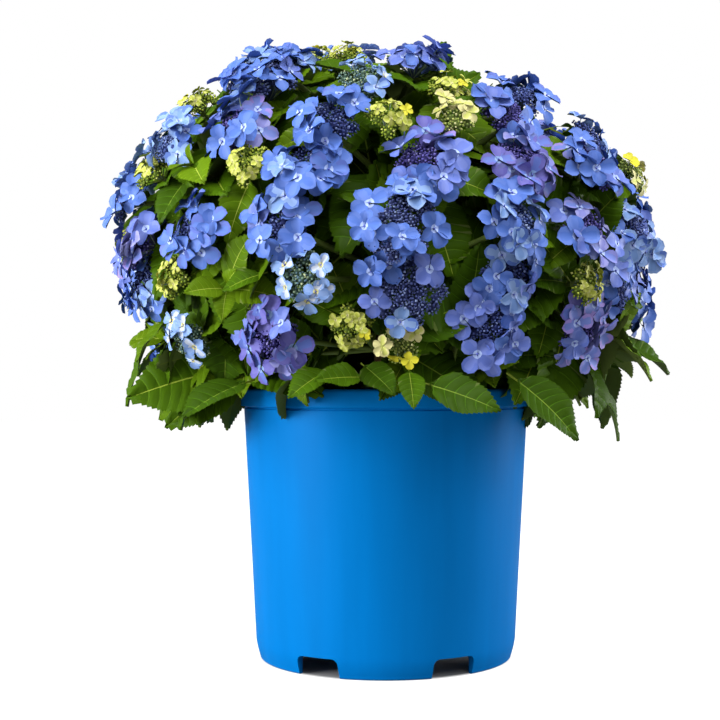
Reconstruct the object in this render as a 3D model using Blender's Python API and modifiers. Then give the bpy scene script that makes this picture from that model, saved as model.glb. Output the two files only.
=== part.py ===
"""Potted lacecap hydrangea: pot, soil, canes, boughs, and masses of shoots, leaves and flower heads.

Metres, +Z up. The origin is on the pot's axis at the level of its feet, and the front is -Y.
Bearings are degrees round the axis from the front, growing towards +X.
"""

import math
import random

import bmesh
import bpy
from mathutils import Matrix, Vector
from mathutils.bvhtree import BVHTree

GAP = 0.0003  # clearance between neighbouring solids

# Pot: a thin-walled two-gallon nursery container on six feet
RIM_RADIUS = 0.1187
RIM_HEIGHT = 0.2175
RIM_BAND = 0.0140  # height of the rolled rim's outer band
RIM_OVERHANG = 0.0034
POT_TOP_RADIUS = RIM_RADIUS - RIM_OVERHANG
POT_FOOT_RADIUS = 0.1046
WALL = 0.0024
FLOOR_HEIGHT = 0.0155  # the floor is lifted off the ground by the feet
FLOOR_THICK = 0.0026
FOOT_WIDTH = 0.0034  # the feet are a thin skirt below the floor
FOOT_DRAFT = 0.0170  # height over which the side draws in to the feet
FOOT_INSET = 0.0024  # and how far it draws in
FOOT_ROUND = 0.0020
POT_STEPS = 36
NOTCH_COUNT = 6
NOTCH_WIDTH = 0.0360
NOTCH_ROUND = 0.0050

# Potting mix
SOIL_TOP = 0.1900

# Canes rise from the mix: a ring of them round one upright core
CANE_COUNT = 6
CANE_TURN = 4.0
CANE_FOOT_REACH = 0.040
CANE_FORK_REACH = 0.066
CANE_FORK_HEIGHT = 0.262
CORE_FORK_HEIGHT = 0.300
CANE_FOOT_RADIUS = 0.0062
CANE_TIP_RADIUS = 0.0044
BOUGH_FOOT_RADIUS = 0.0034
BOUGH_TIP_RADIUS = 0.0026
LIMB_BOW = 0.36  # how far each end's direction carries into the limb
LIMB_POINTS = 3  # along the bow between a limb's two collars
COLLAR = 0.004  # the straight stretch at each end of a limb
CANE_STRAIGHT = 0.026  # and at the top of a cane, where its side boughs leave

# Crown: how far the middles of the flower heads stand from the axis at each height
CROWN_SIDE = 0.207
CROWN_BELT = 0.335
CROWN_RISE = 0.158
CROWN_DROP = 0.160
CROWN_LEAN = 1.35  # how strongly the top of the crown bends over to the left
RISE_POWER = 1.9
DROP_POWER = 2.4

# Layers of masses: the heart that their boughs spread from, and the boughs' share of the way out
LAYERS = {
    "low": (0.236, 0.62, 6),
    "mid": (0.268, 0.60, 6),
    "high": (0.300, 0.56, 6),
    "top": (0.335, 0.46, 3),
}

# Boughs that leave a cane's side: how far below its fork, and the turn off its own bearing
SIDE_BOUGHS = {"low": (0.022, -38.0), "mid": (0.010, 38.0), "top": (0.012, 0.0)}

# Tiers of shoots: layer, height, share of the crown's reach, bearing of the first, what each ends in
TIERS = (
    ("low", 0.238, 0.80, -84.0, "............"),
    ("low", 0.257, 1.00, -48.0, "ovgybv..b.ov.b.s."),
    ("mid", 0.294, 1.00, -66.0, "bg.oBbgbv.bo.vg.b.s"),
    ("mid", 0.332, 1.00, -62.0, "vbbBsvbv.b.gv.s.bg"),
    ("high", 0.374, 1.00, -62.0, "g.gbvvvyb.ov.sb.g.b"),
    ("high", 0.404, 1.00, -52.0, "soogyob.v.o.b.g.s."),
    ("top", 0.434, 1.00, -32.0, "Bogb.vb.os.g"),
    ("top", 0.464, 1.00, -30.0, "sb.v.o."),
    ("top", 0.486, 0.70, -50.0, "gg.b."),
)

# What a shoot ends in: slot round its tier, disc radius, number of florets, floret size
ENDINGS = {
    ".": (26.0, 0.0, 0, 0.0),  # leaves alone
    "g": (14.0, 0.015, 0, 0.0),  # green buds
    "y": (17.0, 0.014, 5, 0.014),  # young, cream florets
    "o": (23.0, 0.017, 6, 0.018),  # opening, pale hearts
    "s": (25.0, 0.019, 6, 0.025),  # sky blue
    "b": (27.0, 0.020, 6, 0.025),  # full blue
    "v": (27.0, 0.020, 6, 0.026),  # violet
    "B": (27.0, 0.028, 7, 0.025),  # a broad dark dome
}

SEED = 5
JITTER_BEARING = 2.0
JITTER_HEIGHT = 0.006
JITTER_DEPTH = 0.012  # how far in from the crown's face a head may stay
JITTER_LOOK = 0.24  # how far a head's look strays, of the unit that it looks along
HEAD_LIFT = 16.0  # degrees that a head looks further up than the crown's surface
DISC_RISE = 0.50  # of the disc's radius
DISC_SIDES = 6
FLORET_ROOT = 0.55  # where a floret's inner corner lies, of the disc's radius
FLORET_LOSS = 0.50  # chance that a floret on a head's bare side is missing
FLORET_TILT = (6.0, 42.0)  # degrees that a floret looks away from its head's middle
FLORET_THICK = 0.0034

STEM_LENGTH = 0.024
STEM_RADIUS = 0.0030
SHOOT_RADIUS = 0.0025
SHOOT_TIP_RADIUS = 0.0020

LEAF_LENGTH = 0.096
LEAF_WIDTH = 0.54  # of the length
LEAF_THICK = 0.0024
LEAF_WAIST = 0.45  # where the leaf is widest, along its length
LEAF_DROOP = 26.0  # degrees that the outer half bends down
LEAF_ROOT = 0.0010  # how far the root runs past the shoot's middle
LEAF_MARGIN = 0.024  # how far leaves may stand out of the crown's side
LEAF_CREST = 0.005  # and above its top
LEAF_HEM = 0.179  # no leaf hangs lower
HEM_ARCH = 0.022  # how much higher the leaves' hem hangs before and behind the pot than beside it
LEAF_SIZES = (1.0, 0.82, 0.66)  # a leaf with no room is tried again smaller
# Nodes of a shoot that ends in a head, and of a leafy one: way along it, size of leaf, spread
LEAF_NODES = (
    ((0.50, 1.0, 68.0), (0.82, 0.9, 54.0)),
    ((0.42, 1.0, 68.0), (0.70, 0.95, 58.0), (0.95, 0.85, 50.0)),
)

UP = Vector((0.0, 0.0, 1.0))


def clear_scene():
    """Remove whatever the scene holds."""
    for item in list(bpy.data.objects):
        bpy.data.objects.remove(item, do_unlink=True)


def make_collection(name):
    """A new collection in the scene."""
    collection = bpy.data.collections.new(name)
    bpy.context.scene.collection.children.link(collection)
    return collection


def make_material(name, colour, roughness):
    """A plain Principled finish."""
    material = bpy.data.materials.new(name)
    material.use_nodes = True
    shader = material.node_tree.nodes["Principled BSDF"]
    shader.inputs["Base Color"].default_value = (*colour, 1.0)
    shader.inputs["Roughness"].default_value = roughness
    shader.inputs["Metallic"].default_value = 0.0
    return material


def add_object(name, data, collection, material=None):
    """An object of this data, linked to the collection."""
    item = bpy.data.objects.new(name, data)
    if material:
        data.materials.append(material)
    collection.objects.link(item)
    return item


def evaluated_mesh(item):
    """A new mesh of the object with its modifiers applied."""
    bpy.context.view_layer.update()
    graph = bpy.context.evaluated_depsgraph_get()
    return bpy.data.meshes.new_from_object(item.evaluated_get(graph))


def polar(bearing, reach, height):
    """The point at this bearing, reach from the axis and height."""
    turn = math.radians(bearing)
    return Vector((reach * math.sin(turn), -reach * math.cos(turn), height))


# Pot and soil


def pot_radius(height):
    """The outer radius of the pot's tapering side."""
    share = height / (RIM_HEIGHT - RIM_BAND)
    return POT_FOOT_RADIUS + (POT_TOP_RADIUS - POT_FOOT_RADIUS) * share


def turned(name, profile, collection, material):
    """A solid turned from a profile that runs down its outer side."""
    mesh = bpy.data.meshes.new(name)
    edges = [(i, i + 1) for i in range(len(profile) - 1)]
    if profile[0][0] > 0.0:
        edges.append((len(profile) - 1, 0))
    mesh.from_pydata([(reach, 0.0, height) for reach, height in profile], edges, [])
    item = add_object(name, mesh, collection, material)
    screw = item.modifiers.new("turn", "SCREW")
    screw.steps = POT_STEPS
    screw.render_steps = POT_STEPS
    screw.use_merge_vertices = True
    screw.merge_threshold = 0.00001
    return item


def notch_cutter(number, collection):
    """A round-cornered block that opens the skirt between two feet."""
    bm = bmesh.new()
    bmesh.ops.create_cube(bm, size=1.0)
    bmesh.ops.scale(bm, verts=bm.verts, vec=(NOTCH_WIDTH, 2.0 * POT_FOOT_RADIUS / 5.0, 2.0 * FLOOR_HEIGHT))
    upper = [e for e in bm.edges if all(v.co.z > 0.0 for v in e.verts)]
    along = [e for e in upper if abs(e.verts[0].co.y - e.verts[1].co.y) > NOTCH_ROUND]
    bmesh.ops.bevel(bm, geom=along, offset=NOTCH_ROUND, segments=2, affect="EDGES", profile=0.5)
    turn = math.radians(360.0 / NOTCH_COUNT * (number + 0.5))
    shift = Matrix.Translation((0.0, -POT_FOOT_RADIUS, -GAP))
    bmesh.ops.transform(bm, matrix=Matrix.Rotation(turn, 4, "Z") @ shift, verts=bm.verts)
    mesh = bpy.data.meshes.new("notch")
    bm.to_mesh(mesh)
    bm.free()
    cutter = add_object(f"notch_{number}", mesh, collection)
    cutter.hide_render = True
    cutter.display_type = "WIRE"
    return cutter


def make_pot(collection, cutters):
    """The pot: rolled rim, tapering wall, lifted floor and six feet."""
    rim_foot = RIM_HEIGHT - RIM_BAND
    inner_top = POT_TOP_RADIUS - WALL
    floor_top = FLOOR_HEIGHT + FLOOR_THICK
    foot = POT_FOOT_RADIUS - FOOT_INSET
    profile = [
        (inner_top, RIM_HEIGHT - 0.0012),
        (inner_top + 0.0022, RIM_HEIGHT),
        (RIM_RADIUS - 0.0016, RIM_HEIGHT - 0.0014),
        (RIM_RADIUS, RIM_HEIGHT - 0.0044),
        (RIM_RADIUS, rim_foot + 0.0010),
        (RIM_RADIUS - 0.0010, rim_foot),
        (POT_TOP_RADIUS, rim_foot),
        (pot_radius(FOOT_DRAFT), FOOT_DRAFT),
        (foot + FOOT_INSET * 0.3, FOOT_DRAFT * 0.4),
        (foot, FOOT_ROUND),
        (foot - FOOT_ROUND * 0.6, 0.0),
        (foot - FOOT_ROUND * 0.6 - FOOT_WIDTH, 0.0),
        (foot - FOOT_ROUND * 0.6 - FOOT_WIDTH, FLOOR_HEIGHT),
        (0.0, FLOOR_HEIGHT),
    ]
    inside = [
        (0.0, floor_top),
        (pot_radius(floor_top) - WALL, floor_top),
        (inner_top, rim_foot),
    ]
    material = make_material("pot_blue_plastic", (0.008, 0.194, 0.624), 0.38)
    pot = turned("pot", profile + inside, collection, material)
    for number in range(NOTCH_COUNT):
        cut = pot.modifiers.new(f"notch_{number}", "BOOLEAN")
        cut.operation = "DIFFERENCE"
        cut.solver = "EXACT"
        cut.object = notch_cutter(number, cutters)
    return pot


def make_soil(collection):
    """The mix, filling the pot to a finger's width below its rim."""
    floor = FLOOR_HEIGHT + FLOOR_THICK + GAP
    slack = WALL + GAP * 2.0
    profile = [
        (0.0, SOIL_TOP),
        (pot_radius(SOIL_TOP) - slack, SOIL_TOP),
        (pot_radius(floor) - slack, floor),
        (0.0, floor),
    ]
    material = make_material("soil_peat", (0.028, 0.018, 0.012), 0.95)
    return turned("soil", profile, collection, material)


# Canes and boughs


def bezier(start, start_pull, end_pull, end, share):
    """A point of the cubic curve between start and end."""
    rest = 1.0 - share
    point = start * rest**3 + start_pull * (3.0 * rest**2 * share)
    return point + end_pull * (3.0 * rest * share**2) + end * share**3


def tube(name, points, radii, sides, collection, material):
    """A tapering round limb along the points, with flat ends."""
    curve = bpy.data.curves.new(name, "CURVE")
    curve.dimensions = "3D"
    curve.bevel_depth = 1.0
    curve.bevel_resolution = (sides - 4) // 2
    curve.use_fill_caps = True
    spline = curve.splines.new("POLY")
    spline.points.add(len(points) - 1)
    for knot, point, radius in zip(spline.points, points, radii):
        knot.co = (*point, 1.0)
        knot.radius = radius
    return add_object(name, curve, collection, material)


def limb_path(start, away, end, heading, straight=COLLAR):
    """Points of a limb that leaves start along away and reaches end along heading."""
    first = start + away * COLLAR
    last = end - heading * straight
    pull = (last - first).length * LIMB_BOW
    shares = [i / (LIMB_POINTS - 1) for i in range(LIMB_POINTS)]
    bow = [bezier(first, first + away * pull, last - heading * pull, last, share) for share in shares]
    return [start, *bow, end]


def taper(points, foot_radius, tip_radius):
    """The radius at each point, falling evenly with the way along them."""
    ways = [0.0]
    for point, beyond in zip(points, points[1:]):
        ways.append(ways[-1] + (beyond - point).length)
    return [foot_radius + (tip_radius - foot_radius) * way / ways[-1] for way in ways]


# Shoots: where each one ends and what it carries


def crown_reach(height):
    """How far the middles of the flower heads stand from the axis at this height."""
    if height > CROWN_BELT:
        share = min(1.0, (height - CROWN_BELT) / CROWN_RISE)
        return CROWN_SIDE * (1.0 - share**RISE_POWER) ** (1.0 / RISE_POWER)
    share = (CROWN_BELT - height) / CROWN_DROP
    return CROWN_SIDE * (1.0 - share**DROP_POWER) ** (1.0 / DROP_POWER)


def leaning(height):
    """How far the crown's middle stands to the right of the axis at this height."""
    return -CROWN_LEAN * max(0.0, height - CROWN_BELT) ** 2


def in_crown(point):
    """Whether a leaf's corner stays in the space that the crown fills."""
    away = math.hypot(point.x - leaning(point.z), point.y)
    reach = away / (CROWN_SIDE + LEAF_MARGIN)
    rise = max(0.0, point.z - CROWN_BELT) / (CROWN_RISE + LEAF_CREST)
    hem = LEAF_HEM + HEM_ARCH * (point.y / max(away, GAP)) ** 2
    return reach**RISE_POWER + rise**RISE_POWER < 1.0 and point.z > hem


def crown_normal(bearing, height):
    """The direction in which a head at this place looks."""
    step = 0.004
    slope = (crown_reach(height - step) - crown_reach(height + step)) / (2.0 * step)
    rise = math.atan(slope) + math.radians(HEAD_LIFT)
    return polar(bearing, math.cos(rise), math.sin(rise))


class Shoot:
    """One shoot: its tier's layer, where it ends, which way it looks and what it ends in."""

    def __init__(self, layer, number, bearing, height, share, ending):
        self.name = f"{layer}_{number}"
        self.dice = random.Random(f"{SEED} {self.name}")
        self.bearing = bearing + self.dice.uniform(-JITTER_BEARING, JITTER_BEARING)
        height += self.dice.uniform(-JITTER_HEIGHT, JITTER_HEIGHT)
        depth = self.dice.uniform(0.0, JITTER_DEPTH)
        self.end = polar(self.bearing, crown_reach(height) * share - depth, height)
        self.end.x += leaning(height)
        stray = Vector([self.dice.uniform(-JITTER_LOOK, JITTER_LOOK) for _ in range(3)])
        self.look = (crown_normal(self.bearing, height) + stray).normalized()
        self.ending = ending
        self.layer = layer


def all_shoots():
    """Every shoot of the crown, tier by tier, each in a slot as wide as what it ends in."""
    shoots = []
    for layer, height, share, first, endings in TIERS:
        slots = [ENDINGS[letter][0] for letter in endings]
        scale = 360.0 / sum(slots)
        bearing = first - slots[0] * scale / 2.0
        for letter, slot in zip(endings, slots):
            middle = bearing + slot * scale / 2.0
            shoots.append(Shoot(layer, len(shoots), middle, height, share, letter))
            bearing += slot * scale
    return shoots


def mass_number(shoot):
    """The number of the mass, within its layer, that the shoot belongs to."""
    count = LAYERS[shoot.layer][2]
    return round((shoot.bearing - CANE_TURN) / 360.0 * count) % count


def mass_shoots(shoots):
    """The shoots of each mass, by layer and number."""
    masses = {}
    for shoot in shoots:
        masses.setdefault((shoot.layer, mass_number(shoot)), []).append(shoot)
    return masses


def bough_tip(layer, members):
    """Where the bough of these shoots ends, and which way it points there."""
    heart_height, share, _ = LAYERS[layer]
    heart = Vector((0.0, 0.0, heart_height))
    aim = sum((shoot.end for shoot in members), Vector()) / len(members)
    tip = heart.lerp(aim, share)
    return tip, (aim - tip).normalized()


# Pieces of a mass


class Room:
    """What the crown holds so far: a piece is let in where it meets only the pieces it grows from."""

    def __init__(self):
        self.pieces = []

    def add(self, mesh):
        """Keep the mesh's surface as taken, and give its number."""
        self.pieces.append(surface(mesh))
        return len(self.pieces) - 1

    def clears(self, mesh, carriers=()):
        """Whether the mesh meets nothing but its carriers."""
        low, high, tree = surface(mesh)
        for number, (other_low, other_high, other_tree) in enumerate(self.pieces):
            if number in carriers:
                continue
            if any(low[i] > other_high[i] or high[i] < other_low[i] for i in range(3)):
                continue
            if tree.overlap(other_tree):
                return False
        return True


def surface(mesh):
    """The mesh's lowest and highest corners and its faces, ready to be tested."""
    points = [v.co.copy() for v in mesh.vertices]
    low = [min(p[i] for p in points) for i in range(3)]
    high = [max(p[i] for p in points) for i in range(3)]
    return low, high, BVHTree.FromPolygons(points, [tuple(p.vertices) for p in mesh.polygons])


def closed_mesh(bm):
    """A mesh of the closed form, with its faces turned outwards."""
    if bm.calc_volume(signed=True) < 0.0:
        bmesh.ops.reverse_faces(bm, faces=bm.faces)
    mesh = bpy.data.meshes.new("piece")
    bm.to_mesh(mesh)
    bm.free()
    return mesh


def spindle(sides, waist, across, along, low, high):
    """A closed form with a ring of corners at its waist and a point at each end."""
    bm = bmesh.new()
    bmesh.ops.create_uvsphere(bm, u_segments=sides, v_segments=2, radius=1.0)
    for vertex in bm.verts:
        x, y, z = vertex.co
        pole = high if z > 0.0 else low
        vertex.co = waist + across * x + along * y + (pole - waist) * abs(z)
    return closed_mesh(bm)


def twig(start, end, foot_radius, tip_radius):
    """A straight three-sided twig."""
    line = end - start
    bm = bmesh.new()
    bmesh.ops.create_cone(
        bm, cap_ends=True, segments=3, radius1=foot_radius, radius2=tip_radius, depth=line.length
    )
    turn = line.to_track_quat("Z", "Y").to_matrix().to_4x4()
    place = Matrix.Translation((start + end) / 2.0)
    bmesh.ops.transform(bm, matrix=place @ turn, verts=bm.verts)
    return closed_mesh(bm)


def disc(centre, look, radius, grow=0.0):
    """The domed disc of small fertile flowers, with its cone of stalks below."""
    side = look.orthogonal().normalized()
    wide = radius + grow
    top = centre + look * (radius * DISC_RISE + grow)
    stalk = centre - look * (radius * DISC_RISE + grow)
    return spindle(DISC_SIDES, centre, side * wide, look.cross(side) * wide, stalk, top)


def floret(inner, outward, look, size, grow=0.0):
    """A showy floret as a thin diamond of four sepals, from its corner inside the disc."""
    half = size / 2.0
    centre = inner + outward * half
    thick = look * (FLORET_THICK / 2.0 + grow)
    side = look.cross(outward)
    reach = half + grow
    return spindle(4, centre, outward * reach, side * reach, centre - thick, centre + thick)


def leaf(root, direction, face, length, droop, grow=0.0):
    """A leaf from its root: it widens to its waist, and its outer part bends down."""
    side = direction.cross(face).normalized()
    upper = side.cross(direction).normalized()
    bent = Matrix.Rotation(-math.radians(droop), 3, side) @ direction
    waist = root + direction * (length * LEAF_WAIST)
    tip = waist + bent * (length * (1.0 - LEAF_WAIST) + grow * 2.0)
    wide = length * LEAF_WIDTH / 2.0 + grow * 2.0
    thick = LEAF_THICK / 2.0 + grow
    heel = root - direction * LEAF_ROOT
    return spindle(4, waist, side * wide, upper * thick, heel, tip)


def leaf_pair(shoot, node, heading, turn, length, spread):
    """Root, direction, face, length and droop of the two leaves that stand opposite at a node."""
    dice = shoot.dice
    side = heading.orthogonal().normalized()
    for half in (0.0, 180.0):
        around = Matrix.Rotation(math.radians(turn + half + dice.uniform(-14.0, 14.0)), 3, heading) @ side
        lean = math.radians(spread + dice.uniform(-12.0, 12.0))
        direction = heading * math.cos(lean) + around * math.sin(lean)
        face = (heading + UP * 0.6).normalized()
        yield node, direction, face, length * dice.uniform(0.82, 1.14), LEAF_DROOP * dice.uniform(0.5, 1.6)


class Mass:
    """One mass: shoots from one stem, with their leaves and flower heads."""

    def __init__(self, name, members, tip, heading, room):
        self.name = name
        self.members = members
        self.tip = tip
        self.heading = heading
        self.room = room
        self.meshes = []

    def put(self, mesh, carriers=(), probe=None):
        """Take the mesh in where it, or its grown form, clears all but its carriers."""
        if not self.room.clears(probe or mesh, carriers):
            return None
        self.meshes.append(mesh)
        return self.room.add(mesh)

    def grow_shoots(self):
        """The stem, and a bowed shoot from it to each member's end."""
        foot = self.tip + self.heading * GAP
        stem = self.put(twig(foot, foot + self.heading * STEM_LENGTH, STEM_RADIUS, STEM_RADIUS))
        kept = []
        fork = [stem]
        for number, shoot in enumerate(self.members):
            share = 0.55 + 0.4 * number / len(self.members)
            shoot.foot = foot + self.heading * (STEM_LENGTH * share)
            shoot.stalk = shoot.end - shoot.look * (ENDINGS[shoot.ending][1] * DISC_RISE * 0.5)
            shoot.limb = self.put(twig(shoot.foot, shoot.stalk, SHOOT_RADIUS, SHOOT_TIP_RADIUS), fork)
            if shoot.limb is not None:
                fork.append(shoot.limb)
                kept.append(shoot)
        self.members = kept

    def grow_discs(self):
        """The disc of each flower head."""
        for shoot in self.members:
            radius = ENDINGS[shoot.ending][1]
            shoot.disc = None
            if radius > 0.0:
                grown = disc(shoot.end, shoot.look, radius, GAP * 2.0)
                shoot.disc = self.put(disc(shoot.end, shoot.look, radius), (shoot.limb,), grown)

    def grow_florets(self):
        """The ring of showy florets round each disc."""
        for shoot in self.members:
            _, radius, count, size = ENDINGS[shoot.ending]
            if shoot.disc is None:
                continue
            side = shoot.look.orthogonal().normalized()
            first = shoot.dice.uniform(0.0, 360.0)
            for number in range(count):
                turn = first + 360.0 * number / count + shoot.dice.uniform(-9.0, 9.0)
                tilt = math.radians(shoot.dice.uniform(*FLORET_TILT))
                bare = (0.5 + 0.5 * math.cos(math.radians(turn - first))) ** 2
                if shoot.dice.random() < FLORET_LOSS * bare:
                    continue
                outward = Matrix.Rotation(math.radians(turn), 3, shoot.look) @ side
                look = shoot.look * math.cos(tilt) + outward * math.sin(tilt)
                away = outward * math.cos(tilt) - shoot.look * math.sin(tilt)
                inner = shoot.end + outward * (radius * FLORET_ROOT)
                shape = (inner, away, look, size)
                self.put(floret(*shape), (shoot.disc, shoot.limb), floret(*shape, GAP * 2.0))

    def grow_leaves(self):
        """Opposite pairs of leaves up each shoot, each pair across the last."""
        for shoot in self.members:
            heading = (shoot.stalk - shoot.foot).normalized()
            turn = shoot.dice.uniform(0.0, 180.0)
            for share, scale, spread in LEAF_NODES[shoot.ending == "."]:
                node = shoot.foot.lerp(shoot.stalk, share)
                carriers = [shoot.limb]
                for line in leaf_pair(shoot, node, heading, turn, LEAF_LENGTH * scale, spread):
                    carriers.append(self.put_leaf(line, carriers))
                turn += 90.0

    def put_leaf(self, line, carriers):
        """Take a leaf in at the largest of its sizes that has room."""
        root, direction, face, length, droop = line
        for size in LEAF_SIZES:
            shape = leaf(root, direction, face, length * size, droop)
            if not all(in_crown(v.co) for v in shape.vertices):
                continue
            number = self.put(shape, carriers, leaf(root, direction, face, length * size, droop, GAP * 2.0))
            if number is not None:
                return number
        return None

    def join(self, collection, material):
        """Fuse the pieces into one solid."""
        pieces = make_collection(f"{self.name}_pieces")
        for number, mesh in enumerate(self.meshes[1:]):
            add_object(f"{self.name}_piece_{number}", mesh, pieces)
        whole = add_object(self.name, self.meshes[0], collection)
        union = whole.modifiers.new("union", "BOOLEAN")
        union.operation = "UNION"
        union.operand_type = "COLLECTION"
        union.collection = pieces
        union.solver = "MANIFOLD"
        mesh = evaluated_mesh(whole)
        whole.modifiers.remove(union)
        mesh.materials.clear()
        mesh.materials.append(material)
        whole.data = mesh
        for item in list(pieces.objects):
            bpy.data.objects.remove(item, do_unlink=True)
        bpy.data.collections.remove(pieces)
        keep_largest_shell(mesh)
        return whole


def keep_largest_shell(mesh):
    """Fill sealed hollows and drop loose scraps: only the outer shell stays."""
    bm = bmesh.new()
    bm.from_mesh(mesh)
    left = set(bm.faces)
    shells = []
    while left:
        shell = {left.pop()}
        edge = list(shell)
        while edge:
            face = edge.pop()
            beside = {other for e in face.edges for other in e.link_faces} & left
            left -= beside
            shell |= beside
            edge.extend(beside)
        shells.append(shell)
    shells.sort(key=len)
    scraps = [face for shell in shells[:-1] for face in shell]
    bmesh.ops.delete(bm, geom=scraps, context="FACES")
    bm.to_mesh(mesh)
    bm.free()


# Assembly


class Cane:
    """One cane: its fork, its lean there and its bearing."""

    def __init__(self, name, foot, fork, lean, bearing, collection, material):
        self.fork = fork
        self.lean = lean
        self.bearing = bearing
        points = limb_path(foot, UP, fork, lean, CANE_STRAIGHT)
        radii = taper(points, CANE_FOOT_RADIUS, CANE_TIP_RADIUS)
        self.swell = (radii[-2] - radii[-1]) / CANE_STRAIGHT
        tube(name, points, radii, 8, collection, material)

    def side(self, drop, bearing):
        """Where a bough starts on the cane's side below its fork, and the way it leaves."""
        across = polar(bearing, 1.0, 0.0)
        away = (across - self.lean * across.dot(self.lean)).normalized()
        radius = CANE_TIP_RADIUS + self.swell * drop
        return self.fork - self.lean * drop + away * (radius + GAP), away


def make_canes(collection, material):
    """The ring of canes, and the core cane last."""
    canes = []
    for number in range(CANE_COUNT):
        bearing = CANE_TURN + 360.0 / CANE_COUNT * number
        foot = polar(bearing, CANE_FOOT_REACH, SOIL_TOP + GAP)
        fork = polar(bearing, CANE_FORK_REACH, CANE_FORK_HEIGHT)
        lean = (fork - foot).normalized()
        canes.append(Cane(f"cane_{number + 1}", foot, fork, lean, bearing, collection, material))
    foot = Vector((0.0, 0.0, SOIL_TOP + GAP))
    fork = Vector((0.0, 0.0, CORE_FORK_HEIGHT))
    canes.append(Cane("cane_core", foot, fork, UP, 0.0, collection, material))
    return canes


def make_bough(layer, number, tip, heading, canes, collection, material):
    """The bough of one mass: the cane's leader, or a limb from the cane's side."""
    core = layer == "top"
    cane = canes[-1] if core else canes[number]
    bearing = math.degrees(math.atan2(tip.x, -tip.y)) if core else cane.bearing
    if layer == "high" or (core and number == 0):
        away = cane.lean
        start = cane.fork + away * GAP
    else:
        drop, turn = SIDE_BOUGHS[layer]
        start, away = cane.side(drop, bearing + turn)
    points = limb_path(start, away, tip, heading)
    radii = taper(points, BOUGH_FOOT_RADIUS, BOUGH_TIP_RADIUS)
    tube(f"bough_{layer}_{number + 1}", points, radii, 6, collection, material)


def main():
    clear_scene()
    parts = make_collection("lacecap_hydrangea_in_pot")
    cutters = make_collection("cutters")
    bark = make_material("cane_bark", (0.172, 0.093, 0.045), 0.75)
    leaves = make_material("foliage_green", (0.040, 0.120, 0.022), 0.50)
    make_pot(parts, cutters)
    make_soil(parts)
    canes = make_canes(parts, bark)
    groups = mass_shoots(all_shoots())
    tips = {}
    for (layer, number), members in groups.items():
        tip, heading = bough_tip(layer, members)
        tips[layer, number] = (tip, heading)
        make_bough(layer, number, tip, heading, canes, parts, bark)
    room = Room()
    for item in list(parts.objects):
        room.add(evaluated_mesh(item))
    masses = []
    for (layer, number), members in groups.items():
        masses.append(Mass(f"mass_{layer}_{number + 1}", members, *tips[layer, number], room))
    for step in ("grow_shoots", "grow_discs", "grow_leaves", "grow_florets"):
        for mass in masses:
            getattr(mass, step)()
    for mass in masses:
        mass.join(parts, leaves)


main()
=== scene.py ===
"""Potted lacecap hydrangea: dresses the plain solids of the frame as a shrub in full bloom.

Metres, +Z up. The origin is on the pot's axis at the level of its feet, and the front is -Y.
Bearings are degrees round the axis from the front, growing towards +X.
"""

import functools
import math
import random

import bmesh
import bpy
import numpy as np
from mathutils import Matrix, Vector


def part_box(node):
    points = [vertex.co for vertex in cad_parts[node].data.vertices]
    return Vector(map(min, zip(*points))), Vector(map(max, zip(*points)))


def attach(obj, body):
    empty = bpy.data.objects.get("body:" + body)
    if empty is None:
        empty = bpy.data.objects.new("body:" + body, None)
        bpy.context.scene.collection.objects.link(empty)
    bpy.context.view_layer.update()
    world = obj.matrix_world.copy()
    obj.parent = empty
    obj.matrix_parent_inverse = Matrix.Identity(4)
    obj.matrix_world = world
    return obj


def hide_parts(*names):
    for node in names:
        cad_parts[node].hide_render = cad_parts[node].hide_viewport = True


bl_info = {
    "name": "Potted Lacecap Hydrangea",
    "version": (1, 0, 0),
    "blender": (4, 5, 0),
    "location": "3D View > Sidebar > Hydrangea",
    "description": "Dresses a potted lacecap hydrangea: pot, mix, canes, shoots, leaves and flower heads",
    "category": "Add Mesh",
}

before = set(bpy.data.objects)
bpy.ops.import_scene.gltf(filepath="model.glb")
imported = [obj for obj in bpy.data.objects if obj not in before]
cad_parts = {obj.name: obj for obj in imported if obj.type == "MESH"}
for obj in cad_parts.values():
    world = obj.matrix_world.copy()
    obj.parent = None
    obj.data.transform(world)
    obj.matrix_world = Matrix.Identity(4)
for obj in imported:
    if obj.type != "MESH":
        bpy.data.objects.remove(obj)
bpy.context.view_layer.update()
POT_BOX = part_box("pot")
SOIL_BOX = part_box("soil")

UP = Vector((0.0, 0.0, 1.0))
GAP = 0.0003  # clearance between neighbouring solids
GOLDEN_TURN = 2.39996  # radians from one bud or clump to the next

# Pot
POT_BLUE = "#005FA2"
RIM_HEIGHT = POT_BOX[1].z
RIM_RADIUS = POT_BOX[1].x
RIM_BAND = 0.0140
RIM_OVERHANG = 0.0034
POT_TOP_RADIUS = RIM_RADIUS - RIM_OVERHANG
POT_FOOT_RADIUS = 0.1046
WALL = 0.0024
FLOOR_HEIGHT = 0.0155
FLOOR_THICK = 0.0026
FOOT_WIDTH = 0.0034
FOOT_DRAFT = 0.0170  # height over which the side draws in to the feet
FOOT_INSET = 0.0024
FOOT_ROUND = 0.0020
NOTCH_COUNT = 6
NOTCH_WIDTH = 0.0360
NOTCH_ROUND = 0.0050
GROOVE = 0.0011  # radius of the hollow that runs round under the rim
RIM_ROLL = 0.0028  # radius of the rim's outer edge
RIM_EDGE = 0.0009  # and of its lower edge
INNER_EDGE = 0.0012  # and of the wall's inner edge
FLOOR_CORNER = 0.0040  # slope between the floor and the wall inside
POT_STEPS = 180
SIDE_STEPS = 12
FOOT_STEPS = 8

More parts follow.
